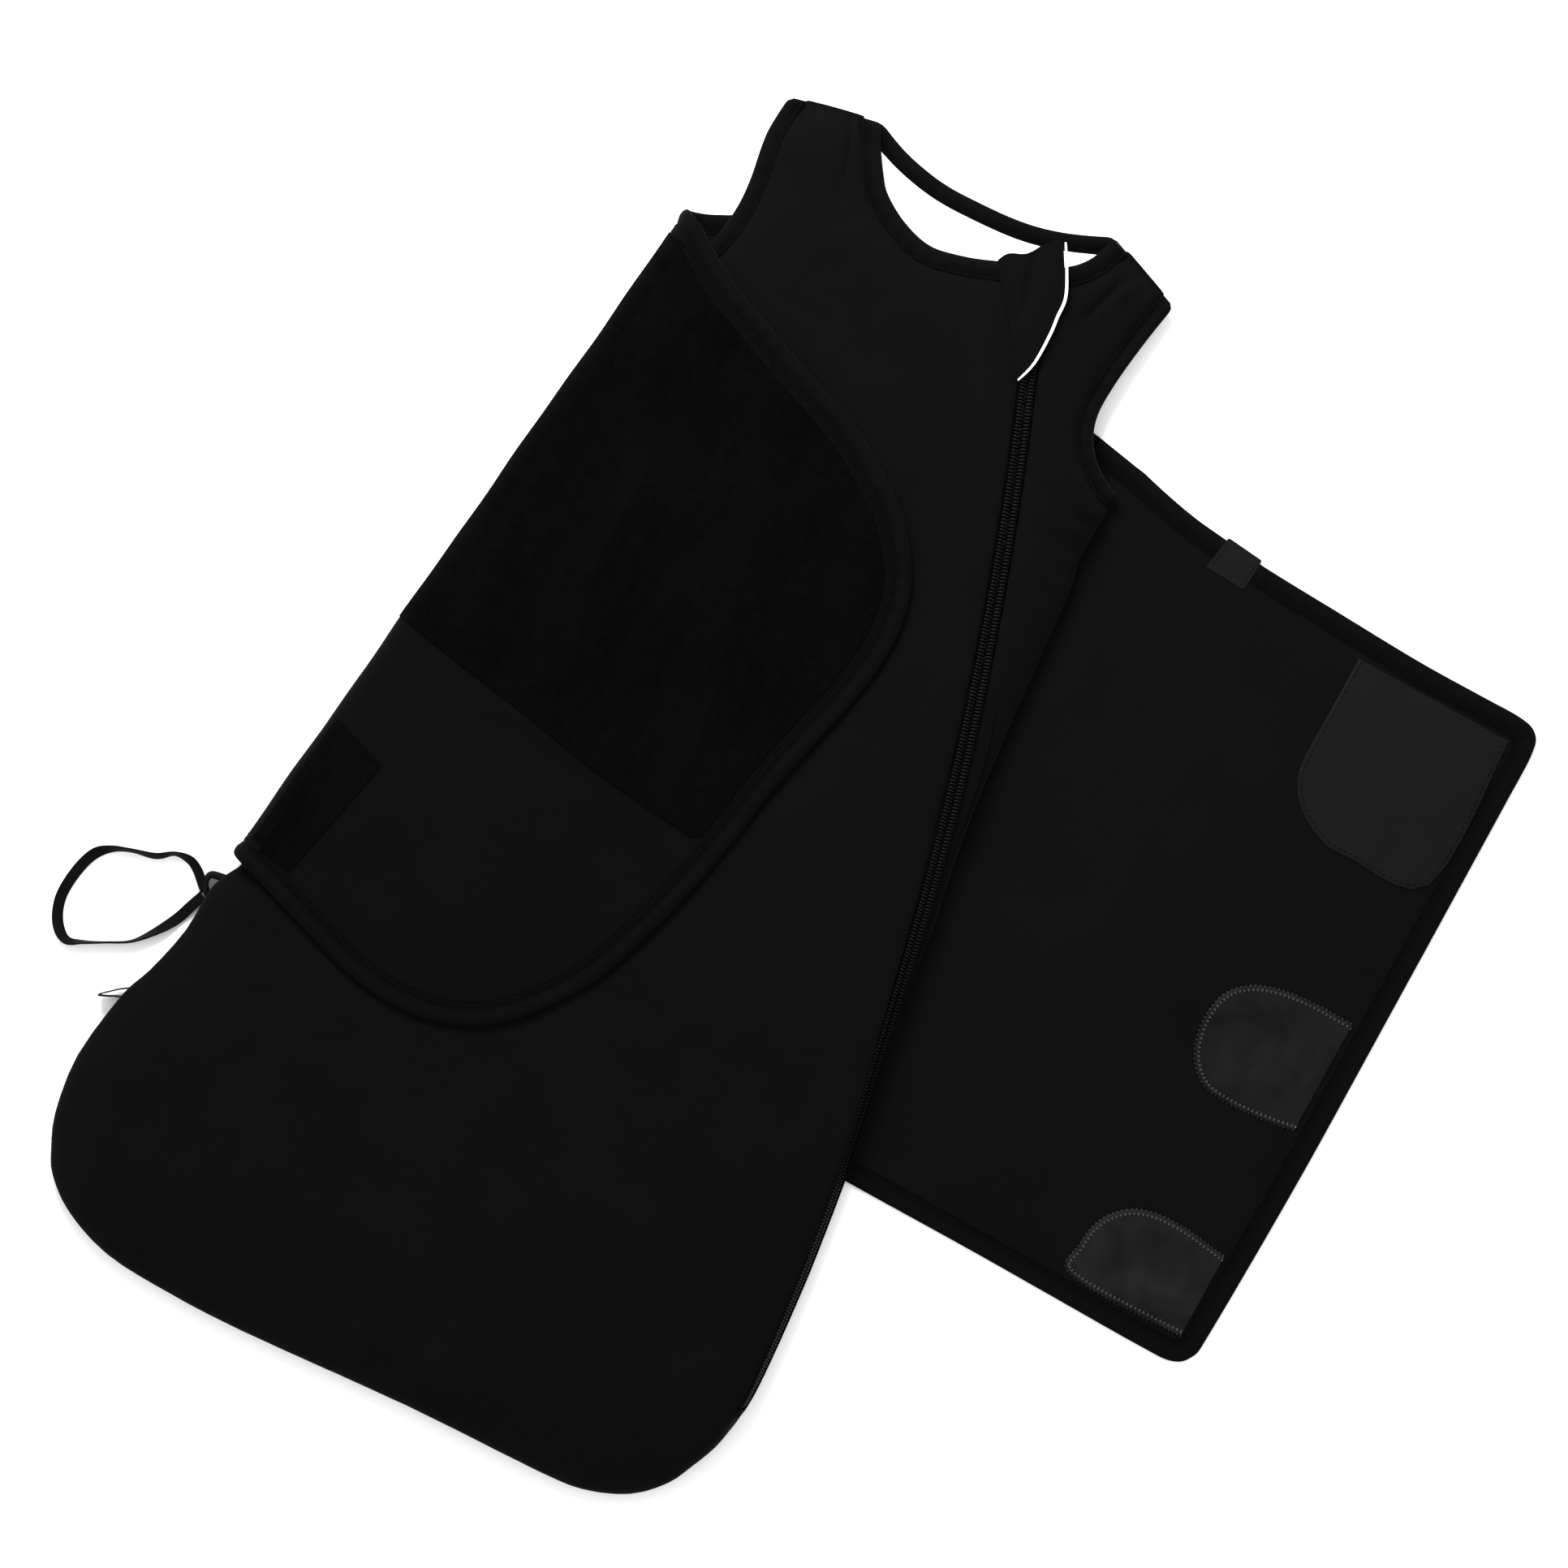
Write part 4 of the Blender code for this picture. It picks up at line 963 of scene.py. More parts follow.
def on_run(line, s):
    """The point s mm along a line."""
    p = np.asarray(line, float)
    cum = np.concatenate([[0], np.cumsum(np.linalg.norm(np.diff(p, axis=0), axis=1))])
    return np.array([np.interp(s, cum, p[:, 0]), np.interp(s, cum, p[:, 1])])


def part_run(line, s0, s1, step=2.5):
    n = max(int(abs(s1 - s0) / step), 1)
    return np.array([on_run(line, s0 + (s1 - s0) * i / n) for i in range(n + 1)])


S_L, S_R = smooth(SHOULDER_L, 2), smooth(SHOULDER_R, 2)
TUCK = 1.3
CUT_BACK_NECK = band_of(smooth(BACK_NECK), -9, NECK_BIND - TUCK)
CUT_NECK_L = band_of(smooth(FRONT_NECK_L), -9, NECK_BIND - TUCK)
CUT_NECK_R = band_of(smooth(FRONT_NECK_R), -9, NECK_BIND - TUCK)
CUT_ARM_L = band_of(smooth(ARMHOLE_L), -9, ARM_BIND - TUCK, 4, 12)
CUT_ARM_R = band_of(smooth(ARMHOLE_R), -9, ARM_BIND - TUCK, 12, 4)
GROOVE = 0.7
LOW_RUN = np.array([zip_point(y, 7.4 + (chain(y)[0] + chain(y)[1] + 0.9 - 7.4) * float(ease((-y - 34) / 60))) for y in np.linspace(-34, -306, 60)])
HEM_VIS = smooth([(185.3, -308.5), (184.2, -316.5), (181.6, -328.2), (176.4, -341.1), (169.7, -354.5), (156, -368)] + HEM[4:])
SIDE_R_VIS = np.vstack([smooth(SIDE_R), LOW_RUN])
SEAM[2:] = [SIDE_R_VIS, np.vstack([LOW_RUN[-1:], HEM_VIS, SIDE_L_ALL])]
raw_left = ring(offset(S_L, -0.7), smooth(FRONT_NECK_L), chain_line(-GROOVE, 257, -303, 80), HEM_VIS, SIDE_L_ALL, smooth(ARMHOLE_L))
raw_right = ring(smooth(FRONT_NECK_R), offset(S_R, -0.7), smooth(ARMHOLE_R), SIDE_R_VIS, chain_line(GROOVE, -305, 258, 80))
raw_back = ring(offset(S_L, -0.7), smooth(BACK_NECK), offset(S_R, -0.7), smooth(ARMHOLE_R), SIDE_R_VIS, HEM_VIS, SIDE_L_ALL, smooth(ARMHOLE_L))
front_left_ring = carved(raw_left, [CUT_NECK_L, CUT_ARM_L])
front_right_ring = carved(raw_right, [CUT_NECK_R, CUT_ARM_R])
back_ring = carved(raw_back, [CUT_BACK_NECK, CUT_ARM_L, CUT_ARM_R])


GUARD_SEAM = np.array([(56, 203), (21, 251)], float)
INNER_EDGES = ((NECK_ALL, NECK_BIND), (ARM_ALL, ARM_BIND))
WING_EDGE = smooth(LEFT_WING, 3)


def chain_gap(x, y):
    """How far a point lies beside the zip chain."""
    c, h, _ = chain(y)
    return np.abs(zip_off(x, y) - c) - h


def rolled(base):
    """The front panels' faces: turned down at the zip, and dipping to meet the bindings, the guard and the wing."""
    def z(x, y):
        g = chain_gap(x, y) - GROOVE + 1.6 * ease((-y - 60) / 90)
        out = base(x, y) - np.where(g < 2.4, 1.9 * (1 - dome(np.maximum(g, 0), 2.4)), 0)
        for lines, width in INNER_EDGES:
            d = edge_dist(x, y, lines) - (width - 0.4)
            out = out - 1.5 * np.exp(-(np.maximum(d, 0) / 1.9) ** 2)
        d, _ = line_dist(x, y, GUARD_SEAM)
        out = out - 0.9 * np.exp(-(d / 2.0) ** 2)
        d, _ = line_dist(x, y, WING_EDGE)
        return out - 1.1 * np.exp(-(d / 4.5) ** 2)
    return z


CREASE_ROWS = [resample(smooth(c[0], 5), 1.6) for c in FRONT_CREASES if c[2] < 3]

pieces = {}


def keep(obj, body, slot, *nodes):
    pieces[obj.name] = obj
    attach(obj, body)
    if nodes:
        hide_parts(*nodes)
    return obj


def bends(obj, pair, start, end, slot, *nodes):
    pieces[obj.name] = obj
    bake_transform(obj)
    if nodes:
        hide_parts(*nodes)
    return obj


front_top = rolled(front_z)
OUT_ROWS = (0.35, 1.0, 2.0, 3.6, 5.8)


def front_low(x, y):
    """The front panels' undersides; along the seams they turn down to meet the back."""
    k = np.exp(-(np.maximum(seam_dist(x, y) - 0.05, 0) / 0.55) ** 2)
    return (front_top(x, y) - 0.9) * (1 - k) + (SEAM_Z - 0.6) * k


front_left = cloth("front_left_cloth", front_left_ring, front_top, None, JERSEY, 3.6, OUT_ROWS, 2.4, low=front_low, extra=CREASE_ROWS)
keep(front_left, "bag", "jersey", "front_left_outer")
front_right = cloth("front_right_cloth", front_right_ring, front_top, None, JERSEY, 2.6, (0.35, 1.0, 2.0, 3.6), 2.4,
                    low=front_low, extra=CREASE_ROWS)
keep(front_right, "bag", "jersey", "front_right_outer")

back = cloth("back_cloth", back_ring, lambda x, y: back_z(x, y) + 0.9 * squeeze(x, y), 0.9, JERSEY, 6.0, OUT_ROWS, 3.0,
             low=back_z)
keep(back, "bag", "jersey", "back_outer_panel")


def shrunk(poly, d):
    """A ring moved inwards by d."""
    p = resample(poly, 4.0, closed=True)
    signed = float((p[:, 0] * np.roll(p[:, 1], -1) - np.roll(p[:, 0], -1) * p[:, 1]).sum())
    tan = np.roll(p, -1, 0) - np.roll(p, 1, 0)
    tan /= np.maximum(np.linalg.norm(tan, axis=1), 1e-9)[:, None]
    side = np.stack([-tan[:, 1], tan[:, 0]], 1) * (1 if signed > 0 else -1)
    q = p + side * d
    dist, _ = line_dist(q[:, 0], q[:, 1], p, closed=True)
    return q[(dist > 0.95 * d) & inside(q[:, 0], q[:, 1], p)]


left_in, back_in, back_face = shrunk(front_left_ring, 3.2), shrunk(back_ring, 3.2), shrunk(back_ring, 0.6)
back_face = carved(back_face, [band_of(line, -3, 2.6, 0, 0) for line in SEAM])
left_pad = carved(left_in, [band_of(zip_line(0, 290, -330, 60), -2, 13.2, 0, 0)])
right_in = carved(front_right_ring, [band_of(zip_line(0, -330, 290, 60), -2, 8.0, 0, 0), [(0, -400), (300, -400), (300, 34), (0, 34)]])
right_in = shrunk(right_in, 2.6)
right_pad = carved(right_in, [band_of(zip_line(0, -330, 290, 60), -2, 13.2, 0, 0), [(0, -400), (300, -400), (300, 62), (0, 62)]])
for name, poly, base, sign, body_mat, slot, node, d0, d1 in (
        ("front_left_padding", left_pad, hidden_z, -1, WADDING, "wadding", "front_left_wadding", 1.25, 3.1),
        ("front_left_inside", left_in, hidden_z, -1, LINING, "lining", "front_left_lining", 3.35, 4.2),
        ("front_right_padding", right_pad, hidden_z, -1, WADDING, "wadding", "front_right_wadding", 1.25, 3.1),
        ("front_right_inside", right_in, hidden_z, -1, LINING, "lining", "front_right_lining", 3.35, 4.2),
        ("back_padding", back_in, back_z, 1, WADDING, "wadding", "back_wadding", 1.2, 3.1),
        ("back_inside", back_face, back_z, 1, LINING, "lining", "back_lining", 3.35, 4.2)):
    hi, lo = (d0, d1) if sign < 0 else (d1, d0)
    made = cloth(name, poly, layer(base, hi, sign), None, body_mat, 7.0, (1.5,), 4.0, low=layer(base, lo, sign))
    keep(made, "bag", slot, node)


# -------------------------------------------------------------------- bindings
def binding_section(width, thick, grooves, roll=None, flange=0.62, low=1.0):
    """A folded strip of cloth: a round outer roll, a flatter flange and the grooves that its stitching pulls in."""
    roll = roll or width * 0.72
    top = []
    stations = np.concatenate([[0.0, 0.15, 0.5, 1.0, 1.7, 2.5], np.linspace(3.4, width - 0.6, 17), [width - 0.25, width]])
    for a in stations:
        u = min(1.0, a / roll)
        h = thick / 2 * math.sqrt(max(0.0, 1 - (1 - min(a, roll * 0.42) / (roll * 0.42)) ** 2))
        if a > roll * 0.5:
            h = thick / 2 * (flange + (1 - flange) * (1 - float(ease((a - roll * 0.5) / (roll * 0.5)))))
        for g in grooves:
            h -= 0.5 * math.exp(-((a - g) / 0.6) ** 2)
        h *= 1.0 if a < width - 0.5 else (0.7 if a < width - 0.1 else 0.3)
        top.append((float(a), float(max(h, 0.15))))
    under = [(a, -min(h, thick * 0.5) * low) for a, h in top[::-1]]
    return top + under


def trimmed_run(path, head, tail):
    """A line without its first head and last tail millimetres."""
    return part_run(path, head, length_of(path) - tail, 1.0)


def dense(path, step=2.2):
    return resample(path, step)


def front_mid(x, y):
    return front_z(x, y) - 2.0


neck_l = dense(trimmed_run(smooth(FRONT_NECK_L, 6), 0.8, 0))
neck_r = dense(trimmed_run(smooth(FRONT_NECK_R, 6), 0, 0.8), 1.2)
neck_b = dense(trimmed_run(smooth(BACK_NECK, 6), 0.4, 0.4), 1.6)
NECK_SECTION = binding_section(NECK_BIND, 4.4, [NECK_BIND - 1.9], roll=7.4)


def neck_height(x, y):
    """The front neckline: it rises from the shoulder seam to the zip."""
    return front_z(x, y) - 1.9


def lifted(x, y):
    # the front neckline binding stays above the lining of the back
    return np.maximum(neck_height(x, y), 8.6)


SHO_DIR_R = (np.array([87, 282]) - np.array([66, 290])) / math.hypot(21, 8)
SHO_DIR_RA = (np.array([87, 282]) - np.array([108, 274])) / math.hypot(21, 8)
SHO_DIR_L = (np.array([-85, 279]) - np.array([-62, 284])) / math.hypot(23, 5)
SHO_DIR_LA = (np.array([-85, 279]) - np.array([-108, 273])) / math.hypot(23, 6)
nl = sweep("neck_roll_front_left", neck_l, lifted, NECK_SECTION, BINDING, ends=(SHO_DIR_L, None), soft=(1.6, 0), pucker=0.3, seed=2)
keep(nl, "bag", "binding", "neck_binding_front_left")
nr = sweep("neck_roll_front_right", neck_r, lifted, NECK_SECTION, BINDING, ends=(None, SHO_DIR_R), soft=(0, 1.6), pucker=0.3, seed=3)
keep(nr, "bag", "binding", "neck_binding_front_right")


def back_neck_z(x, y):
    return np.full(np.shape(x), 4.4) + 2.6 * np.exp(-(edge_dist(x, y, [S_L, S_R]) / 9) ** 2)


nb = sweep("neck_roll_back", neck_b, back_neck_z, NECK_SECTION, BINDING, ends=(SHO_DIR_L, SHO_DIR_R), reach=16.0, soft=(1.6, 1.6), pucker=0.25, seed=4)
keep(nb, "bag", "binding", "neck_binding_back")

ARM_SECTION = binding_section(ARM_BIND, 4.2, [ARM_BIND - 1.9], roll=6.0)


def arm_front(x, y):
    return np.maximum(front_z(x, y) - 1.9, 8.4)


def arm_back(x, y):
    return back_z(x, y) + 2.3


def join_up(name, objs):
    """Several meshes as one piece."""
    base = objs[0]
    bm = bmesh.new()
    for o in objs:
        bm.from_mesh(o.data)
    bm.to_mesh(base.data)
    bm.free()
    for o in objs[1:]:
        bpy.data.objects.remove(o, do_unlink=True)
    base.name = name
    return base


for side, pts in (("left", ARMHOLE_L), ("right", ARMHOLE_R)):
    line = dense(trimmed_run(smooth(pts, 6), 0.15 if side == "right" else 0, 0.15 if side == "left" else 0), 1.6)
    turned = (None, SHO_DIR_LA) if side == "left" else (SHO_DIR_RA, None)
    blunt = (2.0, 0.7) if side == "left" else (0.7, 2.0)
    f = sweep("arm_f", line, arm_front, ARM_SECTION, BINDING, ends=turned, soft=blunt, pucker=0.3, seed=5)
    b = sweep("arm_b", line, arm_back, binding_section(ARM_BIND, 3.2, [ARM_BIND - 1.6]), BINDING, ends=turned, soft=blunt)
    keep(join_up("armhole_roll_" + side, [f, b]), "bag", "binding", "armhole_binding_" + side)
    st = stitches("stitch_armhole_" + side, offset(line, ARM_BIND - 1.9)[3:-3], lambda x, y: arm_front(x, y) + 0.9, THREAD)
    keep(st, "bag", "binding")
keep(stitches("stitch_neck_left", offset(neck_l, NECK_BIND - 1.9), lambda x, y: lifted(x, y) + 0.95, THREAD), "bag", "binding")
keep(stitches("stitch_neck_right", offset(neck_r, NECK_BIND - 1.9), lambda x, y: lifted(x, y) + 0.95, THREAD), "bag", "binding")
keep(stitches("stitch_neck_back", offset(neck_b, NECK_BIND - 1.9)[4:-6], lambda x, y: back_neck_z(x, y) + 0.95, THREAD), "bag", "binding")

# ------------------------------------------------------------------------- zip
TAPE_Z, TAPE_T = 15.6, 0.6


def on_chain(y, off, z):
    """A place on the chain: off across its own width, z above its usual height, rolled with it over the bag's side."""
    c, h, tilt = chain(y)
    across = (off + 4.05) * np.cos(tilt) + (z - 16.0) * np.sin(tilt)
    r = c - h + across * 8.1 * np.cos(tilt) / (8.1 * np.cos(tilt) + 2.2 * np.sin(tilt))
    a = np.arcsin((y - ZIP_C[1]) / ZIP_R)
    return np.stack([ZIP_C[0] + (ZIP_R + r) * np.cos(a), ZIP_C[1] + (ZIP_R + r) * np.sin(a),
                     16.0 + (z - 16.0) * np.cos(tilt) - (off + 4.05) * np.sin(tilt)], -1)


ys = np.linspace(-306, 254, 230)
for side, sign in (("left", -1), ("right", 1)):
    verts, uv, cols = [], [], 5
    for yy in ys:
        wide = 4.9 + 6.1 * float(ease((yy + 60) / 60)) if sign < 0 else 7.0 + 4.0 * float(ease((yy + 20) / 60))
        # the tapes' inner edges meet where the chain rolls over the side
        inner = 0.04 + 0.56 * float(ease((yy - 10) / 40))
        for k in range(cols):
            off = sign * (inner + (wide - inner) * k / (cols - 1))
            p = on_chain(yy, off, TAPE_Z)
            verts.append(p)
            uv.append((p[0], p[1]))
    verts, uv = np.array(verts), np.array(uv)
    n = len(verts)
    quads = [(i * cols + k, i * cols + k + 1, (i + 1) * cols + k + 1, (i + 1) * cols + k) for i in range(len(ys) - 1) for k in range(cols - 1)]
    under = [tuple(v + n for v in q)[::-1] for q in quads]
    rim = []
    for i in range(len(ys) - 1):
        for k in (0, cols - 1):
            p, q = i * cols + k, (i + 1) * cols + k
            rim.append((p, q, q + n, p + n))
    for i in (0, len(ys) - 1):
        for k in range(cols - 1):
            p, q = i * cols + k, i * cols + k + 1
            rim.append((p, q, q + n, p + n))
    low = verts - np.array([0, 0, TAPE_T])
    o = build("zip_tape_weave_" + side, np.vstack([verts, low]), quads + under + rim, np.vstack([uv, uv]), TAPE, 50)
    fix_normals(o)
    keep(o, "bag", "zip_tape", "zip_tape_" + side)

PITCH = 1.72


def arc_point(s, off):
    a = s / ZIP_R
    return np.stack([ZIP_C[0] + (ZIP_R + off) * np.cos(a), ZIP_C[1] + (ZIP_R + off) * np.sin(a)], -1)


s_low, s_high = ZIP_R * math.asin((-302 - ZIP_C[1]) / ZIP_R), ZIP_R * math.asin((256 - ZIP_C[1]) / ZIP_R)


def tooth_bars(name, sign):
    """The coil's loops: each runs across its half of the chain and dips to meet the other side in the middle."""
    s = np.arange(s_low + (0 if sign < 0 else PITCH / 2), s_high - 0.4, PITCH)
    stations = [(4.05, 16.2, 0.5), (3.9, 17.0, 0.64), (3.2, 17.5, 0.68), (2.0, 17.6, 0.66), (0.95, 17.4, 0.62),
                (0.2, 17.0, 0.5), (-0.4, 16.5, 0.34)]
    sides = 7
    ang = np.arange(sides) * math.tau / sides
    rings = []
    for off, z, r in stations:
        shift = 0.30 * (off / 4)
        for q in ang:
            yy = ZIP_C[1] + ZIP_R * np.sin((s + shift + math.cos(q) * r) / ZIP_R)
            rings.append(on_chain(yy, sign * off, z + math.sin(q) * r * 1.05))
    verts = np.stack(rings, 1).reshape(-1, 3)
    per = len(stations) * sides
    one = [(i * sides + k, (i + 1) * sides + k, (i + 1) * sides + (k + 1) % sides, i * sides + (k + 1) % sides)
           for i in range(len(stations) - 1) for k in range(sides)]
    one += [tuple(range(sides)), tuple((len(stations) - 1) * sides + k for k in range(sides))[::-1]]
    faces = [tuple(v + j * per for v in f) for j in range(len(s)) for f in one]
    o = build(name, verts, faces, verts[:, :2], COIL, 0)
    fix_normals(o)
    return o


for side, sign in (("left", -1), ("right", 1)):
    keep(tooth_bars("zip_teeth_" + side, sign), "bag", "zip_coil", "zip_coil_" + side)


def plates(name, outline, z0, z1, mat, bevel=0.3, segments=2, hole=None):
    """A small stamped part with rounded edges."""
    bm = bmesh.new()
    pts = np.asarray(outline, float)
    signed = float((pts[:, 0] * np.roll(pts[:, 1], -1) - np.roll(pts[:, 0], -1) * pts[:, 1]).sum())
    if signed < 0:
        pts = pts[::-1]
    if hole is None:
        low = [bm.verts.new((x, y, z0)) for x, y in pts]
        face = bm.faces.new(low[::-1])
        out = bmesh.ops.extrude_face_region(bm, geom=[face])
        new = [v for v in out["geom"] if isinstance(v, bmesh.types.BMVert)]
        for v in new:
            v.co.z = z1
    else:
        h = np.asarray(hole, float)
        low = [bm.verts.new((x, y, z0)) for x, y in pts]
        inn = [bm.verts.new((x, y, z0)) for x, y in h]
        edges = [bm.edges.new((low[i], low[(i + 1) % len(low)])) for i in range(len(low))]
        edges += [bm.edges.new((inn[i], inn[(i + 1) % len(inn)])) for i in range(len(inn))]
        bmesh.ops.triangle_fill(bm, edges=edges, use_beauty=True)
        out = bmesh.ops.extrude_face_region(bm, geom=list(bm.faces))
        for v in [v for v in out["geom"] if isinstance(v, bmesh.types.BMVert)]:
            v.co.z = z1
    bmesh.ops.recalc_face_normals(bm, faces=bm.faces)
    me = bpy.data.meshes.new(name)
    bm.to_mesh(me)
    bm.free()
    co = np.array([v.co for v in me.vertices])
    me.vertices.foreach_set("co", row(co).astype(np.float32).ravel())
    me.update()
    layer_uv = me.uv_layers.new(name="cloth")
    idx = np.zeros(len(me.loops), np.int32)
    me.loops.foreach_get("vertex_index", idx)
    layer_uv.uv.foreach_set("vector", ((co[:, :2] + co[:, 2:3] * 0.7)[idx] / 100).astype(np.float32).ravel())
    me.materials.append(mat)
    obj = bpy.data.objects.new(name, me)
    bpy.context.scene.collection.objects.link(obj)
    if bevel:
        mod = obj.modifiers.new("round", "BEVEL")
        mod.width = bevel / 1000
        mod.segments = segments
        mod.limit_method = "ANGLE"
        mod.angle_limit = math.radians(32)
    me.shade_smooth()
    me.set_sharp_from_angle(angle=math.radians(40))
    return obj


SLIDER_Y = 248.0


def on_zip(points):
    turn = ZIP_R * math.asin((SLIDER_Y - ZIP_C[1]) / ZIP_R)
    return np.array([arc_point(turn + t, r) for t, r in points])


SLIDER_SHAPE = [(8, -4.6), (7, -5.3), (3, -5.2), (-3, -4.4), (-7, -4.3), (-8, -3.4), (-8, 3.4), (-7, 4.3), (-3, 4.4), (3, 5.2),
                (7, 5.3), (8, 4.6), (8, 1.5), (7, 0), (8, -1.5)]
top_plate = plates("slider_top", on_zip(SLIDER_SHAPE), 18.6, 19.6, METAL, 0.32, 3)
low_plate = plates("slider_low", on_zip(SLIDER_SHAPE), 13.7, 14.7, METAL, 0.3, 2)
post = plates("slider_post", on_zip([(3, -0.35), (6, -0.35), (6, 0.35), (3, 0.35)]), 14.4, 18.9, METAL, 0.1, 1)
bridge = plates("slider_bridge", on_zip([(-3, -0.9), (-3, 0.9), (1.5, 0.9), (1.5, -0.9)]), 19.3, 20.85, METAL, 0.35, 3)
lips = []
for sg in (-1, 1):
    lips.append(plates("slider_lip", on_zip([(7, sg * 5.25), (2, sg * 5.15), (-3, sg * 4.35), (-7, sg * 4.25), (-7, sg * 3.6),
                                             (-3, sg * 3.7), (2, sg * 4.5), (7, sg * 4.6)]), 18.25, 18.75, METAL, 0.12, 1))
for extra_piece in (low_plate, post, bridge, *lips):
    extra_piece.parent = top_plate
top_plate.name = "slider_body"
for k, o in enumerate((low_plate, post, bridge, *lips)):
    o.name = ("slider_underside", "slider_stem", "slider_lug", "slider_lip_left", "slider_lip_right")[k]
keep(top_plate, "zip_slider", "zip_metal", "zip_slider")
pull = plates("pull_tab", on_zip([(3.5, -2.0), (3.9, -1.2), (3.9, 1.2), (3.5, 2.0), (-4.5, 2.6), (-18, 3.2), (-24, 3.1), (-26.2, 2.2),
                                  (-27, 0.8), (-27, -0.8), (-26.2, -2.2), (-24, -3.1), (-18, -3.2), (-4.5, -2.6)]),
              19.95, 20.85, METAL, 0.28, 2, hole=on_zip([(2.2, -1.25), (2.2, 1.25), (-4.2, 1.25), (-4.2, -1.25)]))
keep(pull, "zip_slider", "zip_metal", "zip_pull")
for side, sign in (("left", -1), ("right", 1)):
    o = plates("top_stop_" + side, [zip_point(y, sign * r) for y, r in ((256.5, 0.65), (260.5, 0.65), (260.5, 3.6), (256.5, 3.6))],
               15.9, 18.3, METAL, 0.5, 3)
    keep(o, "bag", "zip_metal", "zip_top_stop_" + side)
o = plates("bottom_stop", [zip_point(y, r) for y, r in ((-308.5, -5.2), (-303.5, -4.6), (-303.5, -1.3), (-308.5, -1.9))],
           13.2, 15.6, COIL, 0.6, 3)
keep(o, "bag", "zip_metal", "zip_bottom_stop")

# --------------------------------------------------------------- guard and piping
guard_ring = ring(smooth([(21, 251), (24, 256), (32, 260), (37, 268), (41, 273), (45, 273.5)], 3),
                  smooth(GUARD_EDGE[:-1], 3), smooth([(60, 215), (59, 208), (56, 203)], 3))


def guard_top(x, y):
    d, s = line_dist(x, y, GUARD_SEAM)
    e, _ = line_dist(x, y, smooth(GUARD_EDGE, 3))
    z = 17.9 + 1.5 * ease(d / 2.6) + 3.0 * ease((d - 1) / 9.0)
    z = z - 0.35 * np.exp(-(e / 2.5) ** 2)
    z = z + ridge(x, y, [(34.5, 266), (38, 254), (42.6, 239), (45, 224)], -1.9, 2.3)
    z = z + ridge(x, y, [(42, 268), (48, 252), (51, 236), (53, 222)], 0.8, 3.6)
    return z + 0.12 * waves(x, y, 31, 22)


guard = cloth("guard_flap", guard_ring, guard_top, 1.0, JERSEY, 1.5, (0.3, 0.8), 1.2)
keep(guard, "zip_guard", "jersey", "zip_guard")
piping_line = resample(offset(smooth(GUARD_EDGE, 5), -1.15), 1.2)
n_p = len(piping_line)
prof = []
for i in range(n_p):
    u = i / (n_p - 1)
    w = 0.80 * (0.55 + 0.45 * math.sin(math.pi * min(1, u * 1.02)) ** 0.5)
    prof.append([(w * math.cos(q), 0.82 * w * math.sin(q)) for q in np.arange(10) * math.tau / 10])
pip = sweep("guard_piping_cord", piping_line, lambda x, y: np.full(np.shape(x), 21.75), lambda i: prof[i], PIPING, 0)
keep(pip, "zip_guard", "piping", "zip_guard_piping")
keep(stitches("stitch_guard_edge", offset(smooth(GUARD_EDGE, 5), 2.2), lambda x, y: guard_top(x, y) + 0.02, THREAD, 2.0, 0.8, 0.18),
     "zip_guard", "jersey")
keep(stitches("stitch_guard_seam", resample([(55, 206.5), (23.5, 250)], 2), lambda x, y: guard_top(x, y) + 0.05, THREAD, 2.2, 0.8, 0.2),
     "zip_guard", "jersey")

# ------------------------------------------------------- swaddle band and wings
ARC_IN = 9.0  # how far in from the fold line the folded cloth is flat again


def fold_s(x, y):
    """How far a point lies outside the fold line."""
    left, u = off_line(x, y, FOLD)
    return -left, u


def wing_mid(x, y):
    """Middle height of the folded wing, which lies on the bag's front."""
    s, u = fold_s(x, y)
    on_bag = front_z(x, y, False) + 1.15
    z = np.maximum(on_bag, 19.2)
    z = 19.2 + (z - 19.2) * ease((-s - ARC_IN) / 12)
    lift = ease((-s - ARC_IN) / 22)
    for path, high, wide in WING_CREASES:
        z = z + lift * ridge(x, y, path, high * 1.7, wide)
    z = z + lift * (0.28 * (1 + waves(x, y, 41, 90)) + 0.12 * (1 + waves(x, y, 42, 34)))
    return z


WING_CREASES = [
    ([(-106, 155), (-99, 113), (-79, 69), (-76, 7), (-53, -53)], 1.5, 5.4),
    ([(-96, 150), (-84, 108), (-66, 62), (-60, 20)], 0.5, 5.0),
    ([(-109, -66), (-77, -58), (-38, -63), (-2, -62)], 0.7, 5.0),
    ([(-21, 56), (5, 33), (10, 0), (-1, -38)], 0.7, 9.0),
    ([(-126, 80), (-127, 33), (-129, -31)], 0.7, 6.0),
    ([(30, 96), (44, 60), (38, 20)], 0.5, 8.0),
    ([(-118, -120), (-80, -150), (-30, -170)], 0.6, 9.0),
    ([(-136, -136), (-112, -170), (-96, -190)], 0.5, 6.0),
]

left_edge = resample(smooth(LEFT_WING, 6), 2.2)
s_edge, _ = fold_s(left_edge[:, 0], left_edge[:, 1])
_in = np.flatnonzero(s_edge < -ARC_IN)
_i, _j = _in[0], _in[-1]


def at_cut(a, b):
    """Where the wing's edge crosses the end of the fold."""
    t = (s_edge[a] + ARC_IN - 0.5) / (s_edge[a] - s_edge[b])
    return left_edge[a] + (left_edge[b] - left_edge[a]) * t


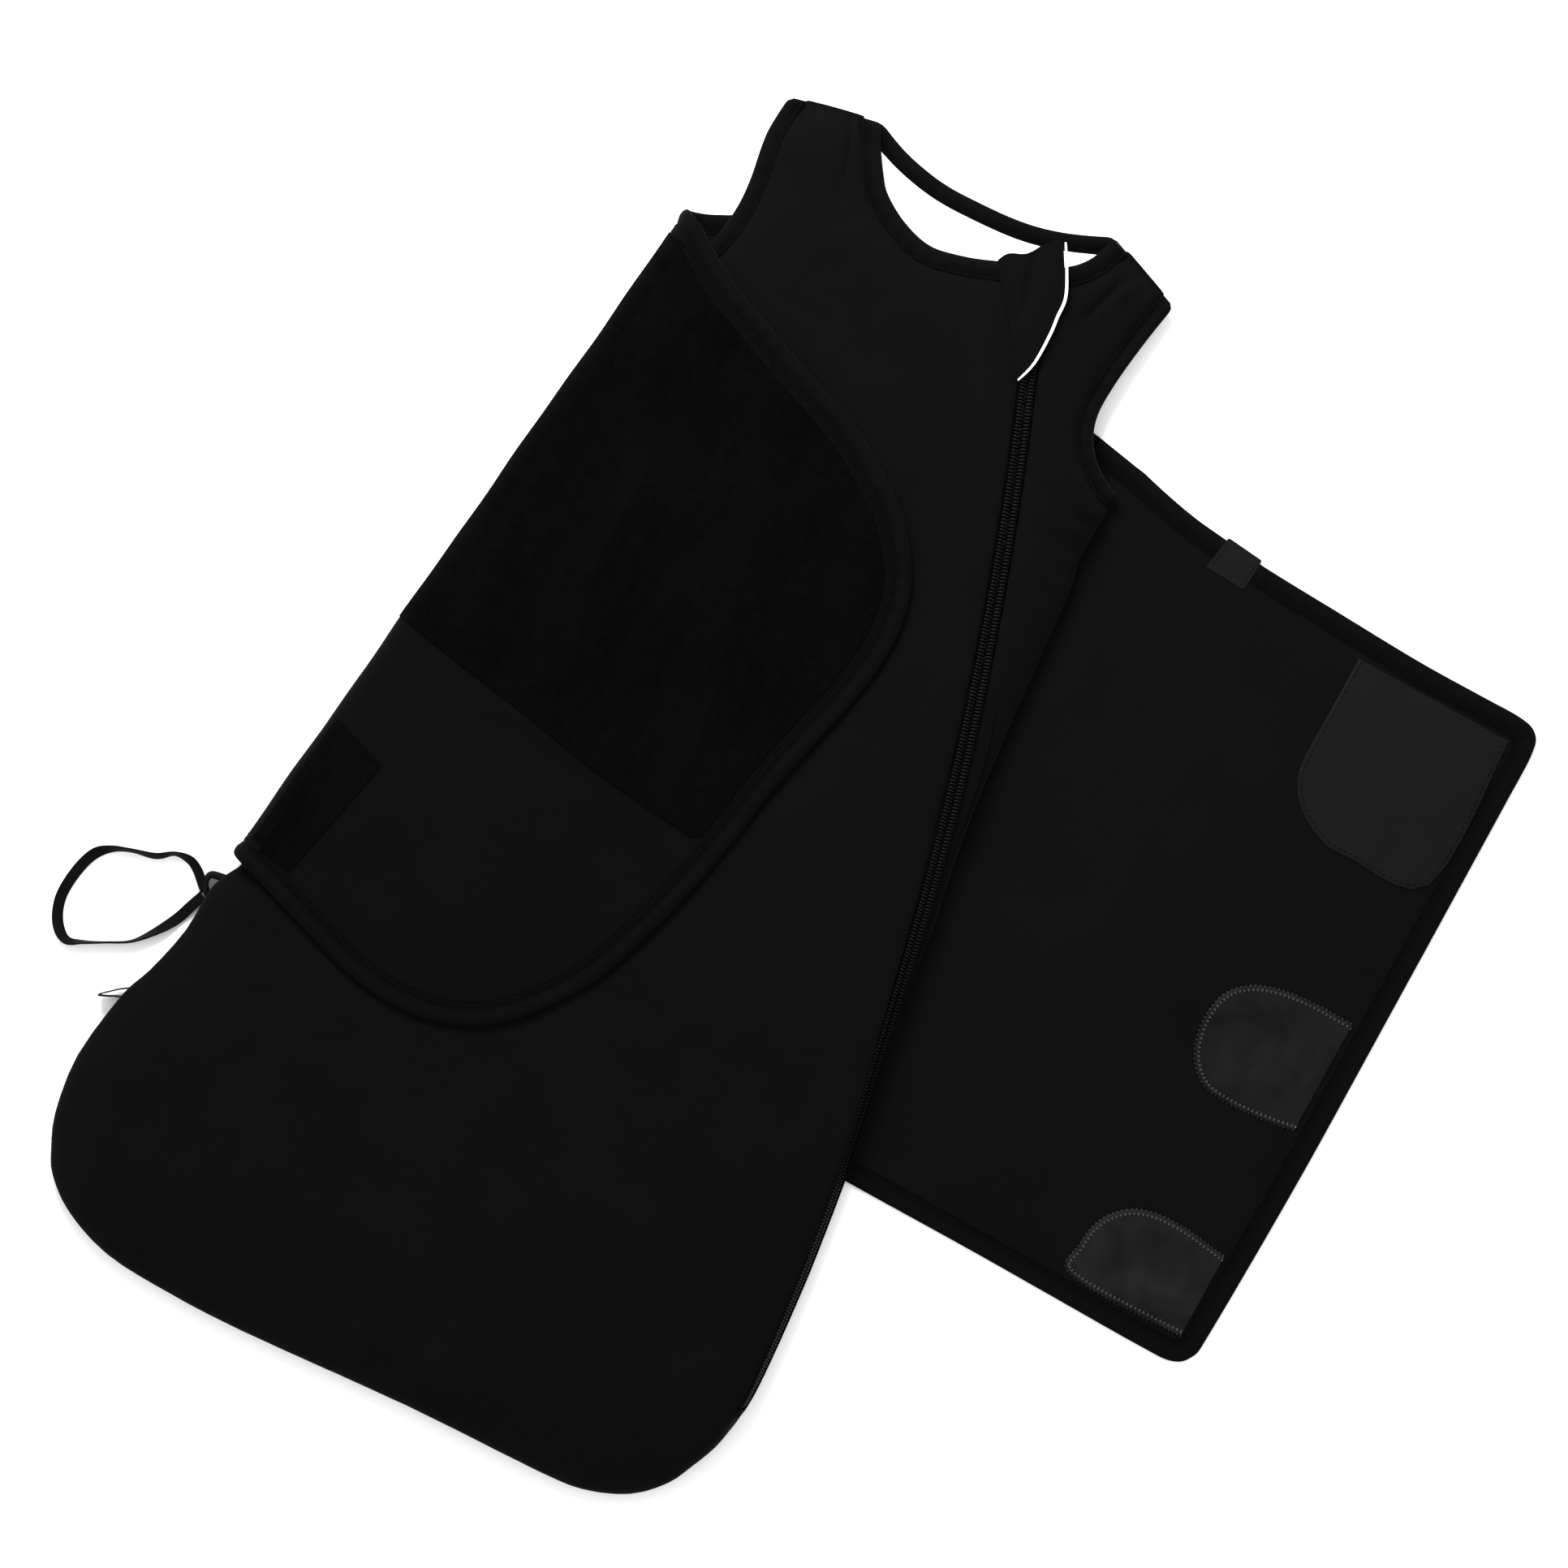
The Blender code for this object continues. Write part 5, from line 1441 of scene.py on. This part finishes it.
left_free = np.vstack([at_cut(_i - 1, _i), left_edge[_i:_j + 1], at_cut(_j + 1, _j)])
left_inner = offset(np.vstack([left_edge, left_edge[-1:] + (left_edge[-1:] - left_edge[-2:-1]) * 5]), LEFT_BIND - 1.5)
left_poly = clipped(left_inner, on_line(FOLD, 0, ARC_IN), on_line(FOLD, 1, ARC_IN))


def wing_top(x, y):
    return wing_mid(x, y) + 0.8


left_wing = cloth("left_wing_cloth", left_poly, wing_top, 1.6, WING, 3.4, (0.8, 2.0), 2.4)
keep(left_wing, "left_wing", "wing_jersey", "left_wing_panel")
LEFT_SECTION = binding_section(LEFT_BIND, 3.9, [LEFT_BIND - 1.6, LEFT_BIND - 4.4], roll=7.6, flange=0.5, low=0.62)


def left_bind_z(x, y):
    return wing_mid(x, y) + 0.15


FOLD_DIR = np.array(FOLD[1], float) - np.array(FOLD[0], float)
FOLD_DIR /= np.linalg.norm(FOLD_DIR)
lb = sweep("left_wing_roll", left_free, left_bind_z, LEFT_SECTION, BINDING_WIDE, ends=(FOLD_DIR * 1.10, -FOLD_DIR * 1.03), reach=18.0,
           pucker=0.28, seed=7)
keep(lb, "left_wing", "binding", "left_wing_binding")
for k, g in enumerate((1.6, 4.4)):
    keep(stitches(f"stitch_left_wing_{k + 1}", offset(left_free, LEFT_BIND - g)[6:-6], lambda x, y: left_bind_z(x, y) + 0.55, THREAD),
         "left_wing", "binding")

# the loop patches lie on the folded wing
fold_cut = (on_line(FOLD, 0, ARC_IN - 0.2), on_line(FOLD, 1, ARC_IN - 0.2))
patch_edge = offset(left_edge, LEFT_BIND + 0.6)
border = smooth(LOOP_BORDER)
bd, _ = line_dist(patch_edge[:, 0], patch_edge[:, 1], border)
above = patch_edge[:, 1] > (-68 - 0.05 * (patch_edge[:, 0] - 25) + 2)
lp, _ = fold_s(patch_edge[:, 0], patch_edge[:, 1])
loop_ring = ring(patch_edge[above & (lp < -3)], border)
loop_ring = clipped(loop_ring, *fold_cut)


def patch_top(x, y):
    return wing_top(x, y) + 0.95


def patch_low(x, y):
    return wing_top(x, y) - 0.05


def soft_edge(base, poly, high, wide=1.6, free=None):
    """A patch whose free edges are pressed down by their stitching."""
    p = resample(poly, 2.0, closed=True)

    def z(x, y):
        if free is None:
            d, _ = line_dist(x, y, p, closed=True)
        else:
            d = edge_dist(x, y, free)
        return base(x, y) - high * (1 - dome(d, wide))
    return z


velour = cloth("loop_velour_large", loop_ring, soft_edge(patch_top, loop_ring, 0.75, 1.6, [patch_edge, border]), None, VELOUR, 2.6, (0.4, 1.0, 1.8), 2.0, low=patch_low)
keep(velour, "left_wing", "loop_velour", "loop_patch_large")
SMALL_SEEN = [(-153, -102), (-123, -112), (-137.5, -180), (-162, -177)]
small_ring = clipped(resample(SMALL_SEEN, 3, closed=True), *fold_cut)
velour2 = cloth("loop_velour_small", small_ring, soft_edge(patch_top, small_ring, 0.75, 1.6, [np.array(SMALL_SEEN[:3], float), np.array(SMALL_SEEN[2:], float)]), None, VELOUR, 2.6, (0.4, 1.0, 1.8), 2.0, low=patch_low)
keep(velour2, "left_wing", "loop_velour", "loop_patch_small")
keep(stitches("stitch_loop_border", resample(offset(border, 1.6), 2), lambda x, y: patch_top(x, y) - 0.05, THREAD, 2.6, 1.0, 0.2),
     "left_wing", "loop_velour")

# the fold itself: a lower quarter from the band to the side, and an upper quarter onto the front
N_ARC, N_LONG = 11, 110
FOLD_LEN = math.hypot(FOLD[1][0] - FOLD[0][0], FOLD[1][1] - FOLD[0][1])


def fold_sheet(name, t0, t1, u0, u1, mats, thick=1.6, bulge=0.0, rim=None, count=N_LONG, arc=N_ARC, ends=((0, 0), (0, 0)),
               arc_uv=False):
    """Cloth round the fold, from angle t0 to t1, over the share u0 to u1 of the fold line. ends gives how far its two
    ends lean along the fold by the time they are flat again, below and above."""
    verts, uv = [], []
    for face in (1, -1):
        for i in range(count):
            v = i / (count - 1)
            u = u0 + (u1 - u0) * v
            for k in range(arc):
                th = t0 + (t1 - t0) * k / (arc - 1)
                h = thick / 2 + bulge
                if rim is not None:
                    h *= rim(v, th)
                wob = 0.5 * math.sin(u * 23) + 0.35 * math.sin(u * 51 + 1)
                rs, rz = 9.4 + (h if face > 0 else -h), 9.2 + (h if face > 0 else -h)
                s = -ARC_IN + rs * math.cos(th) + wob * 0.45 * math.cos(th)
                z = 10.0 + rz * math.sin(th)
                flat = 1 - math.cos(th)
                lean0, lean1 = ends[0][0 if th < 0 else 1] * flat, ends[1][0 if th < 0 else 1] * flat
                near0, near1 = float(ease(1 - u * FOLD_LEN / 34)), float(ease(1 - (1 - u) * FOLD_LEN / 34))
                x, y = on_line(FOLD, u + (lean0 * near0 + lean1 * near1) / FOLD_LEN, -s)
                verts.append((x, y, max(z, 0.0)))
                uv.append((th * 9.3, v * abs(u1 - u0) * FOLD_LEN) if arc_uv else (x - th * 9.3, y))
    n = count * arc
    faces = []
    for i in range(count - 1):
        for k in range(arc - 1):
            a, b, c, d = i * arc + k, i * arc + k + 1, (i + 1) * arc + k + 1, (i + 1) * arc + k
            faces.append((a, b, c, d))
            faces.append((d + n, c + n, b + n, a + n))
    for k in range(arc - 1):
        for i in (0, count - 1):
            a, b = i * arc + k, i * arc + k + 1
            faces.append((a, b, b + n, a + n))
    for i in range(count - 1):
        for k in (0, arc - 1):
            a, b = i * arc + k, (i + 1) * arc + k
            faces.append((a, b, b + n, a + n))
    o = build(name, np.array(verts), faces, np.array(uv), mats, 60)
    fix_normals(o)
    return o


def at(x, y, z):
    p = row(np.array([[x, y, z]], float))[0]
    return tuple(float(v) for v in p)


mid_in = on_line(FOLD, 0.5, ARC_IN)
mid_out = on_line(FOLD, 0.5, -0.4)
LOW_PAIR, TOP_PAIR = ("bag", "left_fold"), ("left_fold", "left_wing")
LOW_ENDS = (at(*mid_in, 0.8), at(*mid_out, 10.0))
TOP_ENDS = (at(*mid_out, 10.0), at(*mid_in, 19.2))
HALF = math.pi / 2
EDGE_SHARE = LEFT_BIND / FOLD_LEN


FOLD_ENDS = ((-5.2, 3.6), (1.0, 1.4))


def roll_rim(v, th):
    """The binding across the fold: a round roll at the free edge, a flange and its stitch grooves."""
    a = v * LEFT_BIND
    h = math.sqrt(max(0.03, 1 - (1 - min(a, 3.2) / 3.2) ** 2))
    if a > 3.8:
        h = 0.5 + 0.5 * (1 - float(ease((a - 3.8) / 3.8)))
    for g in (LEFT_BIND - 1.6, LEFT_BIND - 4.4):
        h -= 0.22 * math.exp(-((a - g) / 0.6) ** 2)
    return h


bends(fold_sheet("fold_cloth_low", -HALF, 0, EDGE_SHARE - 0.004, 1 - EDGE_SHARE + 0.004, WING, ends=FOLD_ENDS), LOW_PAIR, *LOW_ENDS,
      "wing_jersey", "left_wing_fold_strip")
bends(fold_sheet("fold_cloth_top", 0, HALF, EDGE_SHARE - 0.004, 1 - EDGE_SHARE + 0.004, WING, ends=FOLD_ENDS), TOP_PAIR, *TOP_ENDS,
      "wing_jersey")
for nm, u0, u1 in (("neck_end", 0.0, EDGE_SHARE * 1.1), ("foot_end", 1.0, 1 - EDGE_SHARE * 1.03)):
    bends(fold_sheet("fold_roll_low_" + nm, -HALF, 0, u0, u1, BINDING_WIDE, 2.2, 0.5, roll_rim, 26, 13, FOLD_ENDS, True), LOW_PAIR,
          *LOW_ENDS, "binding")
    bends(fold_sheet("fold_roll_top_" + nm, 0, HALF, u0, u1, BINDING_WIDE, 2.6, 0.62, roll_rim, 26, 13, FOLD_ENDS, True), TOP_PAIR,
          *TOP_ENDS, "binding")

# the part of the loop patches that runs onto the fold
bends(fold_sheet("loop_velour_edge", 0.35, HALF, EDGE_SHARE * 1.1 + 0.002, 0.632, VELOUR, 1.6, 0.85, None, 90, 8, ((0, 3.6), (0, 0))),
      TOP_PAIR, *TOP_ENDS, "loop_velour")
bends(fold_sheet("loop_velour_small_edge", 0.95, HALF, 0.785, 0.966, VELOUR, 1.6, 0.85, None, 30, 5), TOP_PAIR, *TOP_ENDS, "loop_velour")

# band behind the bag
band_ring = ring([on_line(FOLD, 0.995, ARC_IN), on_line(FOLD, 0.0, ARC_IN)], smooth(BAND_TOP)[3:-2] - np.array([0, 1.5]),
                 [on_line(HINGE, 0.0, -15), on_line(HINGE, 0.995, -15)])


def band_top(x, y):
    return np.full(np.shape(x), 1.6)


band = cloth("band_cloth", band_ring, band_top, None, WING, 9.0, (1.0,), 4.0, low=lambda x, y: np.full(np.shape(x), 0.0))
keep(band, "bag", "wing_jersey", "wing_band")
band_edge = resample(np.vstack([[on_line(FOLD, -5.2 / FOLD_LEN, ARC_IN)], smooth(BAND_TOP, 5)[6:]]), 2.0)
keep_left, _ = off_line(band_edge[:, 0], band_edge[:, 1], HINGE)
band_run = band_edge[keep_left < -11.5]
keep(sweep("band_roll", band_run, lambda x, y: np.full(np.shape(x), 1.10), binding_section(RIGHT_BIND, 2.9, [RIGHT_BIND - 1.6], low=0.76),
           BINDING, ends=(FOLD_DIR, None)), "bag", "binding")

# right wing: one cloth from behind the bag's side to its free edges
HINGE_IN = 15.0


def hinge_s(x, y):
    left, u = off_line(x, y, HINGE)
    return left, u


def wing_floor(x, y):
    """Lift of the open wing off the floor."""
    s, u = hinge_s(x, y)
    e, _ = line_dist(x, y, right_edge)
    lift = ease((s - 12) / 40) * ease((e - 4) / 26)
    z = 0.75 * (1 + waves(x, y, 51, 110)) + 0.35 * (1 + waves(x, y, 52, 43))
    for path, high, wide in RIGHT_CREASES:
        z = z + ridge(x, y, path, high, wide)
    return np.maximum(z, 0) * lift


RIGHT_CREASES = [
    ([(173, 135), (183, 100), (191, 45)], 1.2, 8.0),
    ([(247, 67), (242, 18), (251, -23)], 1.3, 9.0),
    ([(200, 150), (250, 140), (300, 120)], 0.8, 8.0),
    ([(190, -60), (230, -110), (280, -140)], 1.0, 9.0),
    ([(300, 60), (340, 40), (360, 20)], 0.9, 8.0),
    ([(310, -80), (340, -95), (362, -100)], 0.9, 7.0),
]
right_edge = resample(smooth(RIGHT_WING, 6), 2.0)


def toward(p, q, d):
    p, q = np.asarray(p, float), np.asarray(q, float)
    v = (q - p) / np.linalg.norm(q - p)
    return p - v * d


_run, _ = off_line(band_edge[:, 0], band_edge[:, 1], HINGE)
right_long = np.vstack([band_edge[(_run > -19) & (_run < -3)], right_edge[1:], toward(right_edge[-1], right_edge[-2], HINGE_IN + 12)])
right_long = resample(right_long, 2.0)
right_poly = clipped(offset(right_long, RIGHT_BIND - 1.5), on_line(HINGE, 0, -HINGE_IN), on_line(HINGE, 1, -HINGE_IN))
right_wing = cloth("right_wing_cloth", right_poly, lambda x, y: wing_floor(x, y) + 1.6, 1.55, WING_OPEN, 3.6, (0.8, 2.0), 2.4)
RIGHT_PAIR = ("bag", "right_wing")
h_in, h_out = on_line(HINGE, 0.5, -HINGE_IN), on_line(HINGE, 0.5, HINGE_IN)
RIGHT_ENDS = (at(*h_in, 0.8), at(*h_out, 0.8))
bends(right_wing, RIGHT_PAIR, *RIGHT_ENDS, "wing_jersey", "right_wing_panel")

RIGHT_SECTION = binding_section(RIGHT_BIND, 2.9, [RIGHT_BIND - 1.6], low=0.76)
ls, _ = hinge_s(right_long[:, 0], right_long[:, 1])
right_bind_line = right_long[ls > -HINGE_IN]


def right_bind_z(x, y):
    return wing_floor(x, y) + 1.12


rb = sweep("right_wing_roll", right_bind_line, right_bind_z, RIGHT_SECTION, BINDING, pucker=0.16, seed=9)
bends(rb, RIGHT_PAIR, *RIGHT_ENDS, "binding", "right_wing_binding")
bends(stitches("stitch_right_wing", offset(right_bind_line, RIGHT_BIND - 1.6), lambda x, y: right_bind_z(x, y) + 0.62, THREAD),
      RIGHT_PAIR, *RIGHT_ENDS, "binding")

# hook patches
for name, pts, node, zig in (("hook_tape_large", HOOK_LARGE, "hook_patch_large", False),
                             ("hook_tape_middle", HOOK_MIDDLE, "hook_patch_middle", True),
                             ("hook_tape_small", HOOK_SMALL, "hook_patch_small", True)):
    outer = smooth(pts, 5)
    outer = resample(np.vstack([outer, outer[:1]]), 1.6)
    poly = outer[:-1]

    def hook_top(x, y):
        return wing_floor(x, y) + 1.6 + 1.15

    made = cloth(name, poly, soft_edge(hook_top, poly, 0.8, 1.3), None, {"large": HOOKS, "middle": HOOKS_MIDDLE, "small": HOOKS_GLOSSY}[name.split("_")[-1]], 2.6, (0.3, 0.8, 1.4), 1.6,
                 low=lambda x, y: wing_floor(x, y) + 1.62)
    keep(made, "right_wing", "hook_tape", node)
    curved = smooth(pts, 6)
    total = resample(curved, 1.0)
    if zig:
        line = offset(total, 1.3) if area_of(poly) else total
        test, _ = line_dist(line[:, 0], line[:, 1], poly, closed=True)
        if not inside(line[:, 0], line[:, 1], poly).mean() > 0.5:
            line = offset(total, -1.3)
        pts_z = resample(line, 1.15)
        tan = np.gradient(pts_z, axis=0)
        tan /= np.linalg.norm(tan, axis=1)[:, None]
        nrm = np.stack([-tan[:, 1], tan[:, 0]], 1)
        swing = np.where(np.arange(len(pts_z)) % 2 == 0, 1.0, -1.0)[:, None]
        zz = pts_z + nrm * swing * 1.45
        top = hook_top(zz[:, 0], zz[:, 1])
        dd, _ = line_dist(zz[:, 0], zz[:, 1], poly, closed=True)
        ins = inside(zz[:, 0], zz[:, 1], poly)
        top = np.where(ins, top + 0.1 - 0.8 * (1 - dome(dd, 1.3)), wing_floor(zz[:, 0], zz[:, 1]) + 1.75)
        t = tube("zigzag_" + name.split("_")[-1], np.column_stack([zz, top + 0.15]), 0.3, THREAD_GREY, 5)
        keep(t, "right_wing", "hook_tape")
    else:
        inner_line = offset(total, 2.2)
        if not inside(inner_line[:, 0], inner_line[:, 1], poly).mean() > 0.5:
            inner_line = offset(total, -2.2)
        keep(stitches("stitch_" + name, resample(inner_line, 1.5), lambda x, y: hook_top(x, y) + 0.02, THREAD, 2.2, 1.0, 0.18),
             "right_wing", "hook_tape")

# label folded over the wing's edge
tab = np.array(LABEL_TAB, float)


def tab_z(x, y):
    # over the roll of the binding and down onto the cloth
    d, _ = line_dist(x, y, right_edge)
    return right_bind_z(x, y) + 1.62 - 0.55 * ease((d - 8) / 5) - 1.1 * (1 - dome(d + 0.5, 2.6))


tab_ring = resample(tab, 1.2, closed=True)
label = cloth("wing_label_cloth", tab_ring, tab_z, 0.45, LABEL, 1.5, (0.3, 0.7), 1.2)
keep(label, "right_wing", "label", "wing_label_tab")
for nm, a, b in (("a", (186.2, 172), (188.6, 185.6)), ("b", (204.4, 171.2), (205.4, 184.4))):
    keep(stitches("stitch_label_" + nm, resample([a, b], 1), lambda x, y: tab_z(x, y) + 0.04, THREAD, 1.8, 0.7, 0.15), "right_wing", "label")

# ---------------------------------------------------------- elastic and labels
ROUTE = [(-171.0, -209.4, 0.25), (-174.4, -206.6, 0.25), (-180.7, -201.5, 0.32), (-186, -199.4, 0.46), (-193.6, -200.4, 0.80),
         (-201.1, -205.9, 0.66), (-213, -209.3, 0.80), (-222.1, -213.4, 0.62), (-228.8, -220.3, 0.12), (-232.3, -232.3, 0.0),
         (-232.8, -246.2, 0.0), (-228.4, -257.5, 0.08), (-220.4, -263.6, 0.5), (-212.1, -260.5, 0.86), (-201.5, -254.8, 0.97),
         (-191.3, -248.5, 0.90), (-183.2, -238.5, 0.55), (-177.3, -228.4, 0.12), (-173.9, -219.0, 0.12), (-171.2, -211.6, 0.25)]
curve = smooth(np.array(ROUTE), 7)
stand = resample(curve, 1.5)[:, 2] * HALF
route = resample(curve, 1.5)
route[:, 2] = 0.0
n_el = len(route)
s_el = np.concatenate([[0], np.cumsum(np.linalg.norm(np.diff(route, axis=0), axis=1))])
tan = np.gradient(route, axis=0)
tan /= np.linalg.norm(tan, axis=1)[:, None]
side = np.stack([tan[:, 1], -tan[:, 0], np.zeros(n_el)], 1)
side /= np.linalg.norm(side, axis=1)[:, None]
up = np.array([0, 0, 1.0])
verts, uv = [], []
half_w, half_t = 2.8, 0.5
SEC = [(-1, 0), (-0.93, 0.8), (-0.6, 1), (0, 1.0), (0.6, 1), (0.93, 0.8), (1, 0), (0.93, -0.8), (0.6, -1), (0, -1), (-0.6, -1), (-0.93, -0.8)]
for i in range(n_el):
    c, s = math.cos(stand[i]), math.sin(stand[i])
    wide = side[i] * c + up * s
    thin = -side[i] * s + up * c
    centre = route[i].copy()
    from_end = min(s_el[i], s_el[-1] - s_el[i])
    centre[2] = max(half_w * s + half_t * c + 0.05, 3.4 * (1 - from_end / 22))
    for a, b in SEC:
        verts.append(centre + wide * a * half_w + thin * b * half_t)
        uv.append((s_el[i], a * half_w))
m = len(SEC)
faces = [(i * m + k, (i + 1) * m + k, (i + 1) * m + (k + 1) % m, i * m + (k + 1) % m) for i in range(n_el - 1) for k in range(m)]
faces += [tuple(range(m)), tuple((n_el - 1) * m + k for k in range(m))[::-1]]
verts = np.array(verts)
elastic = build("elastic_band", verts, faces, np.array(uv), ELASTIC_MAT, 50)
fix_normals(elastic)
keep(elastic, "bag", "elastic", "elastic_loop")

# a small cloth loop sewn into the side seam holds the elastic
anchor_path = smooth([(-163.5, -198.6), (-169.0, -199.4), (-172.8, -200.6), (-173.6, -203.4), (-172.6, -206.6), (-170.0, -210.0), (-165.5, -212.6)], 5)
anchor = sweep("anchor_loop", resample(anchor_path, 1.0), lambda x, y: np.full(np.shape(x), 3.9),
               [(0.5, -2.6), (-1.9, 2.2), (-1.7, 2.55), (-1.0, 2.6), (-0.6, 2.3), (1.7, -2.2), (1.5, -2.55), (0.9, -2.8)], BINDING,
               pucker=0)
keep(anchor, "bag", "binding", "elastic_anchor_tab")

# care label, standing on its folded edge out of the side seam
care_path = smooth([(-178.5, -267.6), (-184.0, -271.2), (-189.0, -275.6), (-192.0, -278.4), (-191.9, -279.1), (-188.0, -277.4),
                    (-184.5, -275.6), (-178.0, -273.4)], 6)
care = sweep("care_label_cloth", resample(care_path, 0.8), lambda x, y: np.full(np.shape(x), 5.6),
             [(-0.35, -3.6), (-0.35, 3.6), (0.35, 3.6), (0.35, -3.6)], CARE)
keep(care, "bag", "care_label", "care_label")

# ------------------------------------------------------- camera, floor and light
scene = bpy.context.scene
scene.view_settings.view_transform = "Standard"
scene.view_settings.look = "None"
cam_data = bpy.data.cameras.new("camera")
cam_data.lens = 100.0
cam_data.sensor_width = 36.0
cam = bpy.data.objects.new("camera", cam_data)
scene.collection.objects.link(cam)
cam.location = (-0.0355, 0.0258, 0.008 + 0.7728 * 100 / 36)
cam.rotation_euler = (0, 0, math.radians(28.9))
scene.camera = cam

floor_mat = bpy.data.materials.new("floor_pale")
floor_mat.use_nodes = True
fb = floor_mat.node_tree.nodes["Principled BSDF"]
fb.inputs["Base Color"].default_value = (0.93, 0.93, 0.93, 1)
fb.inputs["Roughness"].default_value = 0.9
fb.inputs["Specular IOR Level"].default_value = 0.1
bpy.ops.mesh.primitive_plane_add(size=12, location=(0, 0, -0.0002))
floor = bpy.context.object
floor.name = "floor"
floor.data.materials.append(floor_mat)

world = bpy.data.worlds.new("studio")
scene.world = world
world.use_nodes = True
bg = world.node_tree.nodes["Background"]
bg.inputs["Color"].default_value = (1, 1, 1, 1)
bg.inputs["Strength"].default_value = 1.25


def area_light(name, where, aim, size, watts):
    data = bpy.data.lights.new(name, "AREA")
    data.shape = "DISK"
    data.size = size
    data.energy = watts
    obj = bpy.data.objects.new(name, data)
    obj.location = where
    obj.rotation_euler = (Vector(aim) - Vector(where)).to_track_quat("-Z", "Y").to_euler()
    scene.collection.objects.link(obj)
    return obj


# the view's up and right in the row frame
UP = (-0.483, 0.876)
RIGHT = (0.876, 0.483)
area_light("key", (UP[0] * 1.02 - RIGHT[0] * 0.25, UP[1] * 1.02 - RIGHT[1] * 0.25, 0.85), (UP[0] * 0.1, UP[1] * 0.1, 0), 0.6, 26)
area_light("fill", (-UP[0] * 1.3 + RIGHT[0] * 1.2, -UP[1] * 1.3 + RIGHT[1] * 1.2, 1.9), (0, 0, 0), 1.4, 4)
